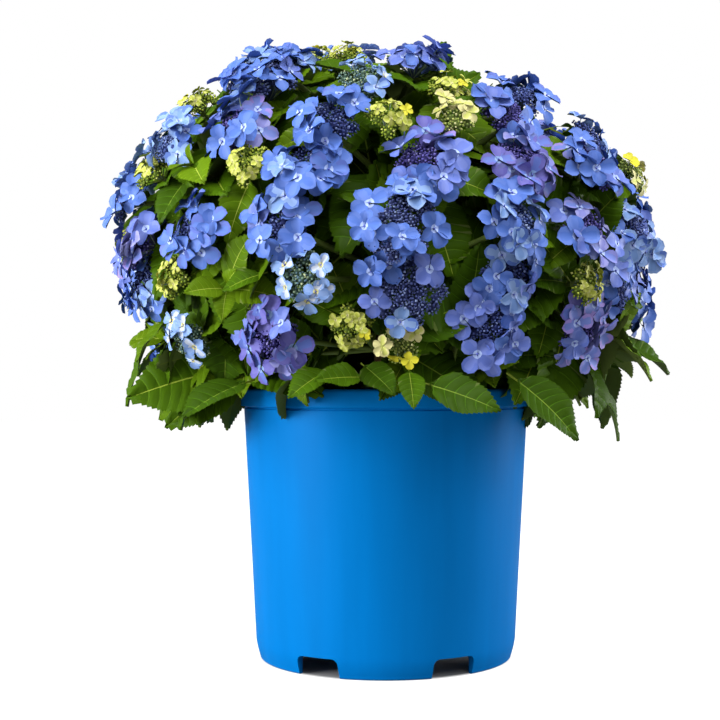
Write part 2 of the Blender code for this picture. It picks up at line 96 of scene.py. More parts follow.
# Potting mix
SOIL_TOP = SOIL_BOX[1].z
SOIL_RADIUS = SOIL_BOX[1].x
SOIL_FOOT_RADIUS = 0.1020
SOIL_RINGS = 40
SOIL_STEPS = 96
SOIL_ROUGH = 0.0022  # depth of the settled top's small dips
SOIL_SWELL = 0.0016  # and of its slow waves
CRUMB_SIZE = 0.0022

# Canes and boughs
CANE_COUNT = 6
CANE_TURN = 4.0
CANE_FOOT_REACH = 0.040
CANE_FORK_REACH = 0.066
CANE_FORK_HEIGHT = 0.262
CORE_FORK_HEIGHT = 0.300
CANE_FOOT_RADIUS = 0.0062
CANE_TIP_RADIUS = 0.0044
BOUGH_FOOT_RADIUS = 0.0034
BOUGH_TIP_RADIUS = 0.0026
LIMB_BOW = 0.36
LIMB_POINTS = 14
COLLAR = 0.004
CANE_STRAIGHT = 0.026
KNOT_PITCH = 0.034  # from one pair of old leaf scars to the next
KNOT_SWELL = 0.16
KNOT_LENGTH = 0.003
KNOT_CLEAR = 0.008  # the swelling fades out this near a limb's end

# Crown: how far the middles of the flower heads stand from the axis at each height
CROWN_SIDE = 0.207
CROWN_BELT = 0.335
CROWN_RISE = 0.158
CROWN_DROP = 0.160
CROWN_LEAN = 1.35  # how strongly the top of the crown bends over to the left
RISE_POWER = 1.9
DROP_POWER = 2.4

# Layers of masses: the heart that their boughs spread from, and the boughs' share of the way out
LAYERS = {
    "low": (0.236, 0.62, 6),
    "mid": (0.268, 0.60, 6),
    "high": (0.300, 0.56, 6),
    "top": (0.335, 0.46, 3),
}

# Boughs that leave a cane's side: how far below its fork, and the turn off its own bearing
SIDE_BOUGHS = {"low": (0.022, -38.0), "mid": (0.010, 38.0), "top": (0.012, 0.0)}

# Tiers of shoots: layer, height, share of the crown's reach, bearing of the first, what each ends in
TIERS = (
    ("low", 0.238, 0.80, -84.0, "............"),
    ("low", 0.257, 1.00, -48.0, "ovgybv..b.ov.b.s."),
    ("mid", 0.294, 1.00, -66.0, "bg.oBbgbv.bo.vg.b.s"),
    ("mid", 0.332, 1.00, -62.0, "vbbBsvbv.b.gv.s.bg"),
    ("high", 0.374, 1.00, -62.0, "g.gbvvvyb.ov.sb.g.b"),
    ("high", 0.404, 1.00, -52.0, "soogyob.v.o.b.g.s."),
    ("top", 0.434, 1.00, -32.0, "Bogb.vb.os.g"),
    ("top", 0.464, 1.00, -30.0, "sb.v.o."),
    ("top", 0.486, 0.70, -50.0, "gg.b."),
)

# Opening heads that have come on into full colour: tier's height and place in it, what they end in now
RIPENED = {(0.404, 1): "v", (0.404, 2): "b", (0.404, 5): "v"}
# Heads that stand out from the crown's face, by this far
STANDING_OUT = {(0.374, 7): 0.018}

# What a shoot ends in: slot round its tier, disc radius, number of florets, floret size
ENDINGS = {
    ".": (26.0, 0.0, 0, 0.0),  # leaves alone
    "g": (14.0, 0.015, 0, 0.0),  # green buds
    "y": (17.0, 0.014, 5, 0.014),  # young, cream florets
    "o": (23.0, 0.017, 6, 0.018),  # opening, pale hearts
    "s": (25.0, 0.019, 6, 0.025),  # sky blue
    "b": (27.0, 0.020, 6, 0.025),  # full blue
    "v": (27.0, 0.020, 6, 0.026),  # violet
    "B": (27.0, 0.028, 7, 0.025),  # a broad dark dome
}

SEED = 5
JITTER_BEARING = 2.0
JITTER_HEIGHT = 0.006
JITTER_DEPTH = 0.012  # how far in from the crown's face a head may stay
JITTER_LOOK = 0.24
HEAD_LIFT = 16.0
HEADS_APART = 0.72  # least distance between two heads, as a share of their radii together
CREST_FOOT = 0.450  # over this height the heads sink down by a share of the way
CREST_SINK = 0.28
HEAD_NOD = 0.30  # how far the heads on the crown's shoulder bend outwards again
NOD_HEIGHT = 0.405
NOD_SPAN = 0.070
FLORET_LOSS = 0.50  # chance that a floret on a head's bare side is missing
FLORET_TILT = (6.0, 42.0)
DISC_RISE = 0.50
FLORET_ROOT = 0.55
STEM_LENGTH = 0.024
STEM_RADIUS = 0.0030
SHOOT_RADIUS = 0.0025
SHOOT_TIP_RADIUS = 0.0020
# Points of a shoot: way along it, and how far it swells there, most at its pairs of leaves
SHOOT_NODES = (
    (0.0, 1.0),
    (0.22, 1.0),
    (0.45, 1.0),
    (0.5, 1.22),
    (0.55, 1.0),
    (0.76, 1.0),
    (0.8, 1.2),
    (0.84, 1.0),
)

# Leaves
LEAF_LENGTH = 0.096
LEAF_WIDTH = 0.54
LEAF_DROOP = 26.0
LEAF_MARGIN = 0.024
LEAF_CREST = -0.002
LEAF_HEM = 0.179
HEM_ARCH = 0.030  # how much higher the leaves' hem hangs before and behind the pot than beside it
LEAF_SIZES = (1.0, 0.82, 0.66)
LEAF_GROWTH = (0.82, 1.14)  # least and most of a leaf's length
LEAF_SAG = (0.5, 1.6)  # and of its droop
LEAF_STRAY = (14.0, 12.0)  # degrees that it may stray round the shoot, and up or down
# Space that leaves leave clear: round a head's disc, behind it as a share of its radius, and before it
HEAD_MARGIN = 0.004
HEAD_DEPTH = 0.35
BEFORE_HEAD = 0.040
# and over and before its ring of florets
OVER_RING = 0.002
BEFORE_RING = 0.060
# Nodes of a shoot that ends in a head, and of a leafy one: way along it, size of leaf, spread
LEAF_NODES = (
    ((0.50, 1.0, 68.0), (0.82, 0.9, 54.0)),
    ((0.42, 1.0, 68.0), (0.70, 0.95, 58.0), (0.95, 0.85, 50.0)),
)

SHOWN_SIZES = (1.12, 0.95, 0.8)  # shares of a shown leaf's length, tried in turn
# Leaves that stand out before the others: layer, foot and tip of the blade in mm, droop and tone
SHOWN_LEAVES = (
    ("low", (-98, -165, 238), (-72, -202, 216), 24, 1),
    ("low", (-99, -150, 222), (-140, -185, 202), 20, 0),
    ("low", (-17, -185, 226), (-48, -202, 224), 18, 1),
    ("low", (-40, -175, 230), (-66, -198, 212), 26, 1),
    ("low", (-14, -175, 233), (11, -200, 210), 24, 0),
    ("low", (16, -185, 230), (19, -203, 205), 22, 1),
    ("low", (29, -190, 221), (78, -196, 203), 16, 0),
    ("low", (92, -150, 224), (138, -150, 182), 20, 0),
    ("mid", (147, -110, 258), (203, -90, 218), 22, 1),
    ("low", (162, -70, 220), (182, -60, 177), 20, 0),
    ("mid", (156, -125, 261), (185, -125, 230), 24, 2),
    ("mid", (-164, -90, 268), (-187, -100, 238), 22, 2),
    ("mid", (-183, -60, 255), (-199, -60, 203), 18, 1),
    ("high", (-106, -150, 359), (-155, -150, 358), 26, 1),
    ("mid", (-46, -190, 282), (-76, -203, 310), 14, 1),
    ("high", (64, -195, 325), (110, -192, 307), 26, 1),
    ("top", (25, -50, 445), (48, -40, 492), 14, 1),
    ("top", (66, -70, 430), (113, -60, 446), 16, 0),
    ("high", (112, -130, 391), (143, -128, 367), 26, 2),
    ("high", (198, -20, 356), (221, -10, 326), 20, 1),
    ("mid", (-203, -10, 305), (-232, 0, 286), 14, 1),
    ("high", (-41, -150, 400), (-80, -155, 386), 24, 3),
    ("high", (-71, -155, 378), (-102, -160, 365), 28, 1),
    ("mid", (-85, -180, 297), (-112, -185, 285), 24, 1),
    ("high", (-38, -30, 408), (-6, -66, 366), 20, 0),
    ("low", (-78, -66, 236), (-30, -80, 214), 10, 0),
    ("low", (52, -72, 240), (100, -66, 224), 10, 0),
    ("mid", (21, -200, 271), (-12, -208, 275), 22, 2),
    ("mid", (48, -200, 284), (62, -206, 259), 20, 1),
)

# Finer growth that only the dressed shrub has: small pairs close under a flower head, and the two
# youngest at the end of a leafy shoot; way up it, length, spread, tone and the turn to the next pair
FINER_NODES = (
    ((0.93, 0.056, 74.0, 2, 55.0), (0.88, 0.064, 64.0, 1, 55.0)),
    ((1.0, 0.046, 48.0, 3, 90.0), (1.0, 0.0276, 26.0, 3, 90.0)),
)
INNER_NODE = (0.22, 0.90, 76.0)  # one more pair, low on each shoot: way up it, size of leaf, spread
INNER_TURN = 20.0
# Chances of the deep, the middle and the bright leaf tone, in the low layer and in those above
LOW_TONES = (7, 4, 1)
UPPER_TONES = (3, 5, 4)
CLUMP_PITCH = 0.0079  # between the bud clusters of a head
CLUMP_RADIUS = 0.0046
CLUMP_BUDS = 22
CLUMP_STRAY = 0.0014
CLUMP_SHADE_SIZE = 0.86  # dark core of painted shade amid a cluster's buds: its size, as a share of the cluster's radius
BUD_SIZE = 0.00098
BUD_GROWTH = (0.78, 1.25)
STALK_RADIUS = 0.0006
MINI_FLORET = 0.010  # the first showy sepals on a green head
MINI_COUNT = 7
FLORET_STALK_RADIUS = 0.0005
FLORET_GROWTH = (0.86, 1.14)
FLORET_STRAY = 9.0  # degrees that a floret may stray round its head
FLORET_FACING = 0.36  # how far it may look aside
FLORET_RISE = 0.0018  # least height of a floret over the buds, and how much higher it may stand
FLORET_LIFT = 0.003
RING_RISE = 0.002  # from one ring of florets to the next
INNER_ROOT = 0.14  # how much nearer the head's middle the further rings are rooted
ROOT_STRAY = 0.22
INNER_LOSS = 0.30  # chance that a floret of the further rings is missing
OPENING_LOSS = 0.65  # and on an opening head
MAIN_TONE = 0.6  # chance that a floret has its head's main tone
# Heads high up at the left may have a third ring: from this height, likelier over this span above it,
# and up to this share of the crown's reach to the right
THIRD_RING = (0.30, 0.06, 0.45)


# Settings


def linear(code):
    """The linear colour of an sRGB hex code."""
    parts = [int(code[i : i + 2], 16) / 255.0 for i in (1, 3, 5)]
    return tuple(p / 12.92 if p <= 0.04045 else ((p + 0.055) / 1.055) ** 2.4 for p in parts)


def length(name, description, default, low=0.0, high=10.0):
    """A length among the settings."""
    return bpy.props.FloatProperty(
        name=name, description=description, unit="LENGTH", default=default, min=low, max=high
    )


class HydrangeaPotSettings(bpy.types.PropertyGroup):
    """Sizes and colour of the pot and its mix."""

    colour: bpy.props.FloatVectorProperty(
        name="Pot colour",
        description="Colour moulded into the pot's plastic",
        subtype="COLOR",
        min=0.0,
        max=1.0,
        default=linear(POT_BLUE),
    )
    foot_round: length("Foot round", "Radius of the pot's lower edge", FOOT_ROUND, 0.001, 0.003)
    crumbs: bpy.props.IntProperty(
        name="Crumbs",
        description="Crumbs of bark and peat on each hundred square centimetres of mix",
        default=420,
        min=0,
    )


class HydrangeaCrownSettings(bpy.types.PropertyGroup):
    """Sizes of the shrub's leaves and flowers."""

    leaf_length: length("Leaf length", "Length of a grown leaf with its stalk", LEAF_LENGTH, 0.02)
    bud_size: length("Bud size", "Radius of one small fertile bud", BUD_SIZE, 0.0005)
    bark_relief: length("Bark relief", "Depth of the furrows in the canes' bark", 0.0007)


class HydrangeaStageSettings(bpy.types.PropertyGroup):
    """Floor, light and camera."""

    key_power: bpy.props.FloatProperty(
        name="Key light",
        description="Power of the soft lights, shared out between them",
        unit="POWER",
        default=46.0,
        min=0.0,
    )
    ambient: bpy.props.FloatProperty(
        name="Ambient light",
        description="Strength of the light from all round, beside the white that is seen",
        default=0.43,
        min=0.0,
        max=1.0,
    )
    camera_distance: length("Camera distance", "From the lens to the pot's axis", 1.126, 0.3)
    camera_height: length("Camera height", "Height of the lens over the floor", 0.225)


# Small helpers


def add_node(tree, kind, links=None, stops=(), **settings):
    """A node of this kind, with its settings and colour stops, and each input linked or set."""
    node = tree.nodes.new(kind)
    for name, value in settings.items():
        setattr(node, name, value)
    for number, (position, colour) in enumerate(stops):
        ramp = node.color_ramp.elements
        stop = ramp[number] if number < 2 else ramp.new(position)
        stop.position = position
        stop.color = (*colour, 1.0)
    for socket, value in (links or {}).items():
        if isinstance(value, bpy.types.NodeSocket):
            tree.links.new(value, node.inputs[socket])
        else:
            node.inputs[socket].default_value = value
    return node


def polar(bearing, reach, height):
    """The point at this bearing, reach from the axis and height."""
    turn = math.radians(bearing)
    return Vector((reach * math.sin(turn), -reach * math.cos(turn), height))


def turned_to(along, above):
    """The turn that takes +X to along and +Z as near as it can to above."""
    across = above.cross(along).normalized()
    upper = along.cross(across).normalized()
    return Matrix((along, across, upper)).transposed().to_quaternion()


def cad_nodes(*beginnings):
    """The frame's nodes whose names begin with one of these."""
    return sorted(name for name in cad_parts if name.startswith(beginnings))


def finish_piece(name, mesh, nodes):
    """A finished piece of this mesh, standing for these nodes of the frame."""
    piece = bpy.data.objects.new(name, mesh)
    bpy.context.scene.collection.objects.link(piece)
    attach(piece, "root")
    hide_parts(*nodes)
    return piece


POINT_VALUES = {"form", "turn", "size", "tone", "part", "thick"}  # what the trees read from points and faces


def made_by(name, source, tree, inputs):
    """The plain mesh that a node tree makes of a source mesh."""
    item = bpy.data.objects.new(name, source)
    bpy.context.scene.collection.objects.link(item)
    modifier = item.modifiers.new(name, "NODES")
    modifier.node_group = tree
    for socket in tree.interface.items_tree:
        if socket.in_out == "INPUT" and socket.name in inputs:
            modifier[socket.identifier] = inputs[socket.name]
    mesh = applied(item)
    item.modifiers.remove(modifier)
    bpy.data.objects.remove(item)
    for label in sorted(POINT_VALUES & set(mesh.attributes.keys())):
        mesh.attributes.remove(mesh.attributes[label])
    mesh.name = name
    drop_unused_slots(mesh)
    return mesh


def drop_unused_slots(mesh):
    """Leave the mesh only the material slots that its faces use."""
    slots = np.empty(len(mesh.polygons), dtype=np.int32)
    mesh.polygons.foreach_get("material_index", slots)
    used, slots = np.unique(slots, return_inverse=True)
    kept = [mesh.materials[number] for number in used]
    mesh.materials.clear()
    for material in kept:
        mesh.materials.append(material)
    mesh.polygons.foreach_set("material_index", slots.astype(np.int32).ravel())


def applied(item):
    """A new mesh of the object with its modifiers applied."""
    bpy.context.view_layer.update()
    graph = bpy.context.evaluated_depsgraph_get()
    return bpy.data.meshes.new_from_object(item.evaluated_get(graph))


def set_values(mesh, name, kind, domain, values, field="value"):
    """A named attribute of the mesh with these values."""
    attribute = mesh.attributes.new(name, kind, domain)
    numbers = np.asarray(values, dtype=np.int32 if kind == "INT" else np.float32)
    attribute.data.foreach_set(field, numbers.ravel())


# Finishes


def plain_finish(name, code, roughness, specular=0.5, ior=1.45):
    """A finish of one even colour."""
    material = bpy.data.materials.get(name) or bpy.data.materials.new(name)
    material.use_nodes = True
    shader = material.node_tree.nodes["Principled BSDF"]
    shader.inputs["Base Color"].default_value = (*linear(code), 1.0)
    shader.inputs["Roughness"].default_value = roughness
    shader.inputs["Specular IOR Level"].default_value = specular
    shader.inputs["IOR"].default_value = ior
    return material


def patterned_finish(material, stretch, detail, stops, strength, distance, grain=None):
    """The finish with a tint that follows stretched noise, and a relief of it or of its own finer grain."""
    tree = material.node_tree
    shader = tree.nodes["Principled BSDF"]
    place = add_node(tree, "ShaderNodeTexCoord").outputs["Object"]
    along = add_node(tree, "ShaderNodeMapping", {"Vector": place, "Scale": stretch}).outputs[0]
    noise = add_node(tree, "ShaderNodeTexNoise", {"Vector": along, "Scale": 1.0, "Detail": detail})
    tint = add_node(tree, "ShaderNodeValToRGB", {"Fac": noise.outputs["Fac"]}, stops)
    tree.links.new(tint.outputs["Color"], shader.inputs["Base Color"])
    if grain:
        noise = add_node(tree, "ShaderNodeTexNoise", {"Vector": place, "Scale": grain, "Detail": 1.0})
    relief = {"Height": noise.outputs["Fac"], "Strength": strength, "Distance": distance}
    tree.links.new(add_node(tree, "ShaderNodeBump", relief).outputs[0], shader.inputs["Normal"])
    return material


def moulded_polypropylene(colour):
    """Injection-moulded polypropylene, blue right through: an even satin with a soft, wide gloss."""
    base = Vector(colour)
    # Flow marks of the melt run down the wall, about 12 mm apart and hardly seen, and the mould's fine
    # spark grain of 0.6 mm is drawn coarser than the real 0.1 mm so that it shows
    stops = ((0.3, base * 0.96), (0.7, base * 1.04))
    plastic = plain_finish("moulded_polypropylene", POT_BLUE, 0.42, 0.02, 1.49)
    return patterned_finish(plastic, (80.0, 80.0, 6.0), 2.0, stops, 0.05, 0.0002, 1600.0)


def composted_bark():
    """Peat and composted bark: dull, dark brown, with paler fibres a few millimetres long."""
    stops = ((0.36, linear("#15100B")), (0.56, linear("#35261A")), (0.74, linear("#6A4E34")))
    mix = plain_finish("composted_bark", "#35261A", 0.95)
    return patterned_finish(mix, (260.0, 260.0, 260.0), 5.0, stops, 0.6, 0.001)


def cane_bark():
    """Two-year hydrangea cane: thin tan bark that dries grey and splits along the cane."""
    stops = ((0.34, linear("#3B2A1B")), (0.52, linear("#80603E")), (0.70, linear("#A58E6B")))
    bark = plain_finish("cane_bark", "#80603E", 0.78)
    return patterned_finish(bark, (620.0, 620.0, 90.0), 4.0, stops, 0.5, 0.0006)


# Leaf tones from old to young: upper side, veins, underside, stalk
LEAF_TONES = {
    "deep": ("#2A4107", "#395A0D", "#4A5A28", "#55621E", "#647A28"),
    "mid": ("#344E06", "#466510", "#52612E", "#5E6B24", "#7A8A2E"),
    "bright": ("#415A08", "#557013", "#5D6D35", "#66732A", "#86943A"),
    "young": ("#4A630A", "#607A18", "#677639", "#6E7930", "#8C9A3C"),
}
LEAF_PARTS = ("upper", "vein", "under", "stalk", "midrib")  # as numbered on a leaf's faces
LEAF_GLOSS = (0.44, 0.50, 0.70, 0.50, 0.50)

# Sepal colours, and for each tone of floret its heart, the middle and rim of one pair of sepals and
# those of the other
SEPALS = {
    "blue": "#3E5BA1",
    "blue_light": "#4963A6",
    "periwinkle": "#4B5CA0",
    "periwinkle_light": "#5766A5",
    "lilac": "#6568A2",
    "lilac_light": "#7274A7",
    "violet": "#4A478D",
    "violet_light": "#535193",
    "sky": "#5F7CAD",
    "sky_light": "#6D86B2",
    "pale": "#8E9FCB",
    "pink": "#7668A5",
    "white": "#A3ABBA",
    "cream": "#ACA773",
    "lime": "#8F9634",
    "lime_light": "#A0A353",
    "yellow": "#AEA823",
}
FLORET_TONES = {
    "blue": ("pale", "blue_light", "blue", "blue", "blue_light"),
    "blue_heart": ("pale", "blue_light", "blue", "blue_light", "periwinkle"),
    "periwinkle": ("pale", "periwinkle_light", "periwinkle", "periwinkle", "periwinkle_light"),
    "lilac": ("pale", "lilac", "lilac_light", "periwinkle_light", "lilac"),
    "lilac_heart": ("pale", "periwinkle_light", "lilac", "periwinkle_light", "pink"),
    "violet": ("sky_light", "violet_light", "violet", "periwinkle", "violet_light"),
    "sky": ("pale", "sky", "sky_light", "sky_light", "blue_light"),
    "opening": ("cream", "white", "sky_light", "sky_light", "sky"),
    "cream": ("lime_light", "cream", "cream", "lime_light", "cream"),
    "lime": ("cream", "lime_light", "lime", "lime", "lime_light"),
    "yellow": ("yellow",) * 5,
}
# Parts of a floret: its heart, middle and rim of one pair, those of the other, and the underside
SEPAL_PARTS = (0, 1, 2, 6, 7, 3)
# The tones that the florets of a head take, by what the shoot ends in
HEAD_FLORETS = {
    "g": ("lime", "lime", "lime", "yellow"),
    "y": ("cream", "cream", "cream", "yellow"),
    "o": ("opening", "opening", "sky", "opening"),
    "s": ("sky", "sky", "blue_heart", "blue"),
    "b": ("blue", "periwinkle", "blue", "sky", "blue_heart"),
    "v": ("periwinkle", "lilac", "periwinkle", "blue", "violet", "lilac_heart"),
    "B": ("blue", "periwinkle", "sky", "blue"),
}
# Bud colours of a head: three shades, and the pale tips of the few that open; then its stalks
HEAD_BUDS = {
    "g": ("#7C8C27", "#627524", "#959F3B", "#B0B262", "#6D7B31"),
    "y": ("#869346", "#68793B", "#9DA45B", "#BAB882", "#6D7B39"),
    "o": ("#5A7264", "#4A6270", "#6E8168", "#9DA882", "#627144"),
    "s": ("#43548A", "#53659A", "#6878A8", "#8796B8", "#536458"),
    "b": ("#353F74", "#424F88", "#50609A", "#6D7BA8", "#3A4664"),
    "v": ("#3B3772", "#494588", "#5A5496", "#746FA4", "#403F64"),
    "B": ("#343C6A", "#424D7E", "#55618C", "#707DA4", "#3F4860"),
}
# SHADE_HEART is the dark core in each bud cluster: painted shade between the buds
BUD, SHADE_HEART, STALK = range(3)  # the forms of a head, and the parts that their finishes go by
BUD_SHADES = 4
BUD_CHANCES = (40, 30, 20, 10)  # of each shade, in the hundred
# Colours of those dark cores, darker than the buds: painted shade in the gaps of each head's clusters
CLUMP_SHADE_COLOURS = dict(
    zip(HEAD_BUDS, ("#4A5B1C", "#52602A", "#34483C", "#28366A", "#1C2450", "#221F50", "#1C2448"))
)


def leaf_finishes():
    """Hydrangea leaf: a thin waxy cuticle over soft green, so a broad dull sheen; matt below."""
    finishes = {}
    for tone, (age, codes) in enumerate(LEAF_TONES.items()):
        for part, (code, gloss) in enumerate(zip(codes, LEAF_GLOSS)):
            finishes[tone, part] = plain_finish(f"leaf_{age}_{LEAF_PARTS[part]}", code, gloss, 0.03)
    return finishes


def floret_finishes():
    """Hydrangea sepal: thin petal-like skin with no gloss to speak of, paler towards its heart."""
    finishes = {}
    for tone, layers in enumerate(FLORET_TONES.values()):
        for part, layer in zip(SEPAL_PARTS, (*layers, layers[2])):
            finishes[tone, part] = plain_finish(f"sepal_{layer}", SEPALS[layer], 0.62, 0.25)
        green = layers[2] in ("cream", "lime", "yellow")
        eye = ("floret_eye_green", "#A8B04A") if green else ("floret_eye_blue", "#434FA4")
        finishes[tone, 4] = plain_finish(*eye, 0.5)
    stalk = plain_finish("floret_stalk", "#7C8C78", 0.6, 0.3)
    finishes.update({(tone, 5): stalk for tone in range(len(FLORET_TONES))})
    return finishes


def head_finishes():
    """Fertile buds: small waxy beads, each with a soft point of light."""
    finishes = {}
    for head, (letter, codes) in enumerate(HEAD_BUDS.items()):
        first = head * BUD_SHADES
        for shade in range(BUD_SHADES):
            name = f"bud_{letter}_{shade + 1}"
            finishes[first + shade, BUD] = plain_finish(name, codes[shade], 0.6, 0.14)
        # each cluster's dark core: painted shade between its buds
        heart = plain_finish(f"clump_painted_shade_{letter}", CLUMP_SHADE_COLOURS[letter], 0.8, 0.2)
        finishes[first, SHADE_HEART] = heart
        finishes[first, STALK] = plain_finish(f"head_stalk_{letter}", codes[4], 0.6, 0.3)
    return finishes


# Node trees


PART_STEP = 8.0  # tones are this far apart in the number that a face's finish goes by
NAMED = "GeometryNodeInputNamedAttribute"


def give_finishes(tree, geometry, finishes):
    """Set Material nodes that give each face the finish of its tone and part."""
    tone = add_node(tree, NAMED, {"Name": "tone"}, data_type="FLOAT").outputs["Attribute"]
    part = add_node(tree, NAMED, {"Name": "part"}, data_type="FLOAT").outputs["Attribute"]
    number = add_node(tree, "ShaderNodeMath", {0: tone, 1: PART_STEP, 2: part}, operation="MULTIPLY_ADD")
    for (tone, part), material in finishes.items():
        wanted = add_node(
            tree,
            "FunctionNodeCompare",
            {"A": number.outputs[0], "B": tone * PART_STEP + part, "Epsilon": 0.1},
            data_type="FLOAT",
            operation="EQUAL",
        )
        put = {"Geometry": geometry, "Selection": wanted.outputs[0], "Material": material}
        geometry = add_node(tree, "GeometryNodeSetMaterial", put).outputs[0]
    return geometry


def new_tree(name, **inputs):
    """An empty geometry tree with these named inputs, its input node and its output node."""
    tree = bpy.data.node_groups.new(name, "GeometryNodeTree")
    tree.interface.new_socket("Geometry", in_out="INPUT", socket_type="NodeSocketGeometry")
    for label, (kind, value) in inputs.items():
        socket = tree.interface.new_socket(label, in_out="INPUT", socket_type=kind)
        if value is not None:
            socket.default_value = value
    tree.interface.new_socket("Geometry", in_out="OUTPUT", socket_type="NodeSocketGeometry")
    start = add_node(tree, "NodeGroupInput")
    return tree, start, add_node(tree, "NodeGroupOutput")


def set_out_tree(name, finishes):
    """Stands a form on each point, turned and sized as the point says."""
    tree, start, end = new_tree(name, Forms=("NodeSocketCollection", None), Growth=("NodeSocketFloat", 1.0))
    inputs = {"Collection": start.outputs["Forms"], "Separate Children": True, "Reset Children": True}
    forms = add_node(tree, "GeometryNodeCollectionInfo", inputs).outputs[0]
    form, turn, size = (
        add_node(tree, NAMED, {"Name": label}, data_type=kind).outputs["Attribute"]
        for label, kind in (("form", "INT"), ("turn", "QUATERNION"), ("size", "FLOAT_VECTOR"))
    )
    growth = {0: size, "Scale": start.outputs["Growth"]}
    grown = add_node(tree, "ShaderNodeVectorMath", growth, operation="SCALE").outputs[0]
    chosen = {"Instance": forms, "Pick Instance": True, "Instance Index": form}
    chosen.update({"Points": start.outputs["Geometry"], "Rotation": turn, "Scale": grown})
    stand = add_node(tree, "GeometryNodeInstanceOnPoints", chosen)
    real = add_node(tree, "GeometryNodeRealizeInstances", {"Geometry": stand.outputs[0]})
    tree.links.new(give_finishes(tree, real.outputs[0], finishes), end.inputs[0])
    return tree


def limb_tree(name, finishes):
    """Grows a limb round each line, as thick as the line's points say, with bark relief."""
    tree, start, end = new_tree(
        name,
        Sides=("NodeSocketInt", 12),
        Step=("NodeSocketFloat", 0.003),
        Relief=("NodeSocketFloat", 0.0006),
        Grain=("NodeSocketFloat", 0.003),
    )
    sides, step, relief, grain = (start.outputs[label] for label in ("Sides", "Step", "Relief", "Grain"))
    line = add_node(tree, "GeometryNodeMeshToCurve", {0: start.outputs["Geometry"]}).outputs[0]
    fine = add_node(tree, "GeometryNodeResampleCurve", {0: line, "Length": step}, mode="LENGTH")
    ring = add_node(tree, "GeometryNodeCurvePrimitiveCircle", {"Resolution": sides, "Radius": 1.0})
    thick = add_node(tree, NAMED, {"Name": "thick"}, data_type="FLOAT").outputs["Attribute"]
    inputs = {0: fine.outputs[0], 1: ring.outputs[0], "Scale": thick, "Fill Caps": True}
    limb = add_node(tree, "GeometryNodeCurveToMesh", inputs).outputs[0]
    # The relief's noise is drawn out upwards, because the furrows follow the limb
    place = add_node(tree, "GeometryNodeInputPosition").outputs[0]
    long = add_node(tree, "ShaderNodeVectorMath", {0: place, 1: (1.0, 1.0, 0.3)}, operation="MULTIPLY")
    scale = add_node(tree, "ShaderNodeMath", {0: 1.0, 1: grain}, operation="DIVIDE").outputs[0]
    inputs = {"Vector": long.outputs[0], "Scale": scale, "Detail": 2.0}
    rough = add_node(tree, "ShaderNodeTexNoise", inputs).outputs[0]
    centred = add_node(tree, "ShaderNodeMath", {0: rough, 1: 0.5}, operation="SUBTRACT").outputs[0]
    depth = add_node(tree, "ShaderNodeMath", {0: centred, 1: relief}, operation="MULTIPLY").outputs[0]
    normal = add_node(tree, "GeometryNodeInputNormal").outputs[0]
    out = add_node(tree, "ShaderNodeVectorMath", {0: normal, "Scale": depth}, operation="SCALE").outputs[0]
    moved = add_node(tree, "GeometryNodeSetPosition", {"Geometry": limb, "Offset": out}).outputs[0]
    smooth = add_node(tree, "GeometryNodeSetShadeSmooth", {"Geometry": moved}).outputs[0]
    real = add_node(tree, "GeometryNodeRealizeInstances", {"Geometry": smooth}).outputs[0]
    tree.links.new(give_finishes(tree, real, finishes), end.inputs[0])
    return tree


CRUMB_TURNS = (0.0, 0.0, 0.0), (3.0, 3.0, 6.0)  # least and most, in radians about each axis
CRUMB_SHAPES = (0.3, 0.3, 0.2), (1.3, 0.9, 0.6)  # least and most, as shares of a crumb's size


def crumb_tree(name, material):
    """Strews crumbs over the upward faces of a surface."""
    tree, start, end = new_tree(
        name,
        Density=("NodeSocketFloat", 42000.0),
        Size=("NodeSocketFloat", CRUMB_SIZE),
        Seed=("NodeSocketInt", SEED),
    )
    surface, density, size, seed = (start.outputs[label] for label in ("Geometry", "Density", "Size", "Seed"))
    normal = add_node(tree, "GeometryNodeInputNormal").outputs[0]
    rise = add_node(tree, "ShaderNodeSeparateXYZ", {0: normal}).outputs[2]
    compare = {"data_type": "FLOAT", "operation": "GREATER_THAN"}
    flat = add_node(tree, "FunctionNodeCompare", {"A": rise, "B": 0.5}, **compare).outputs[0]
    inputs = {"Mesh": surface, "Selection": flat, "Density": density, "Seed": seed}
    strewn = add_node(tree, "GeometryNodeDistributePointsOnFaces", inputs).outputs[0]
    crumb = add_node(tree, "GeometryNodeMeshIcoSphere", {"Radius": 1.0, "Subdivisions": 1}).outputs[0]
    turn, shape = (
        add_node(tree, "FunctionNodeRandomValue", {"Min": low, "Max": high}, data_type="FLOAT_VECTOR")
        for low, high in (CRUMB_TURNS, CRUMB_SHAPES)
    )
    for draw in (turn, shape):
        tree.links.new(seed, draw.inputs["Seed"])
    sized = add_node(tree, "ShaderNodeVectorMath", {0: shape.outputs[0], "Scale": size}, operation="SCALE")
    laid = {"Points": strewn, "Instance": crumb, "Rotation": turn.outputs[0], "Scale": sized.outputs[0]}
    stand = add_node(tree, "GeometryNodeInstanceOnPoints", laid)
    both = add_node(tree, "GeometryNodeJoinGeometry", {0: stand.outputs[0]})
    tree.links.new(surface, both.inputs[0])
    real = add_node(tree, "GeometryNodeRealizeInstances", {"Geometry": both.outputs[0]}).outputs[0]
    put = add_node(tree, "GeometryNodeSetMaterial", {"Geometry": real, "Material": material})
    tree.links.new(put.outputs[0], end.inputs[0])
    return tree


def set_out(name, places, forms, finishes):
    """A mesh with a form at each place: (place, turn, size, form, tone)."""
    points = bpy.data.meshes.new(name)
    points.from_pydata([tuple(line[0]) for line in places], [], [])
    set_values(points, "turn", "QUATERNION", "POINT", [tuple(line[1]) for line in places])
    set_values(points, "size", "FLOAT_VECTOR", "POINT", [tuple(line[2]) for line in places], "vector")
    set_values(points, "form", "INT", "POINT", [line[3] for line in places])
    set_values(points, "tone", "FLOAT", "POINT", [line[4] for line in places])
    return made_by(name, points, set_out_tree(name, finishes), {"Forms": forms})


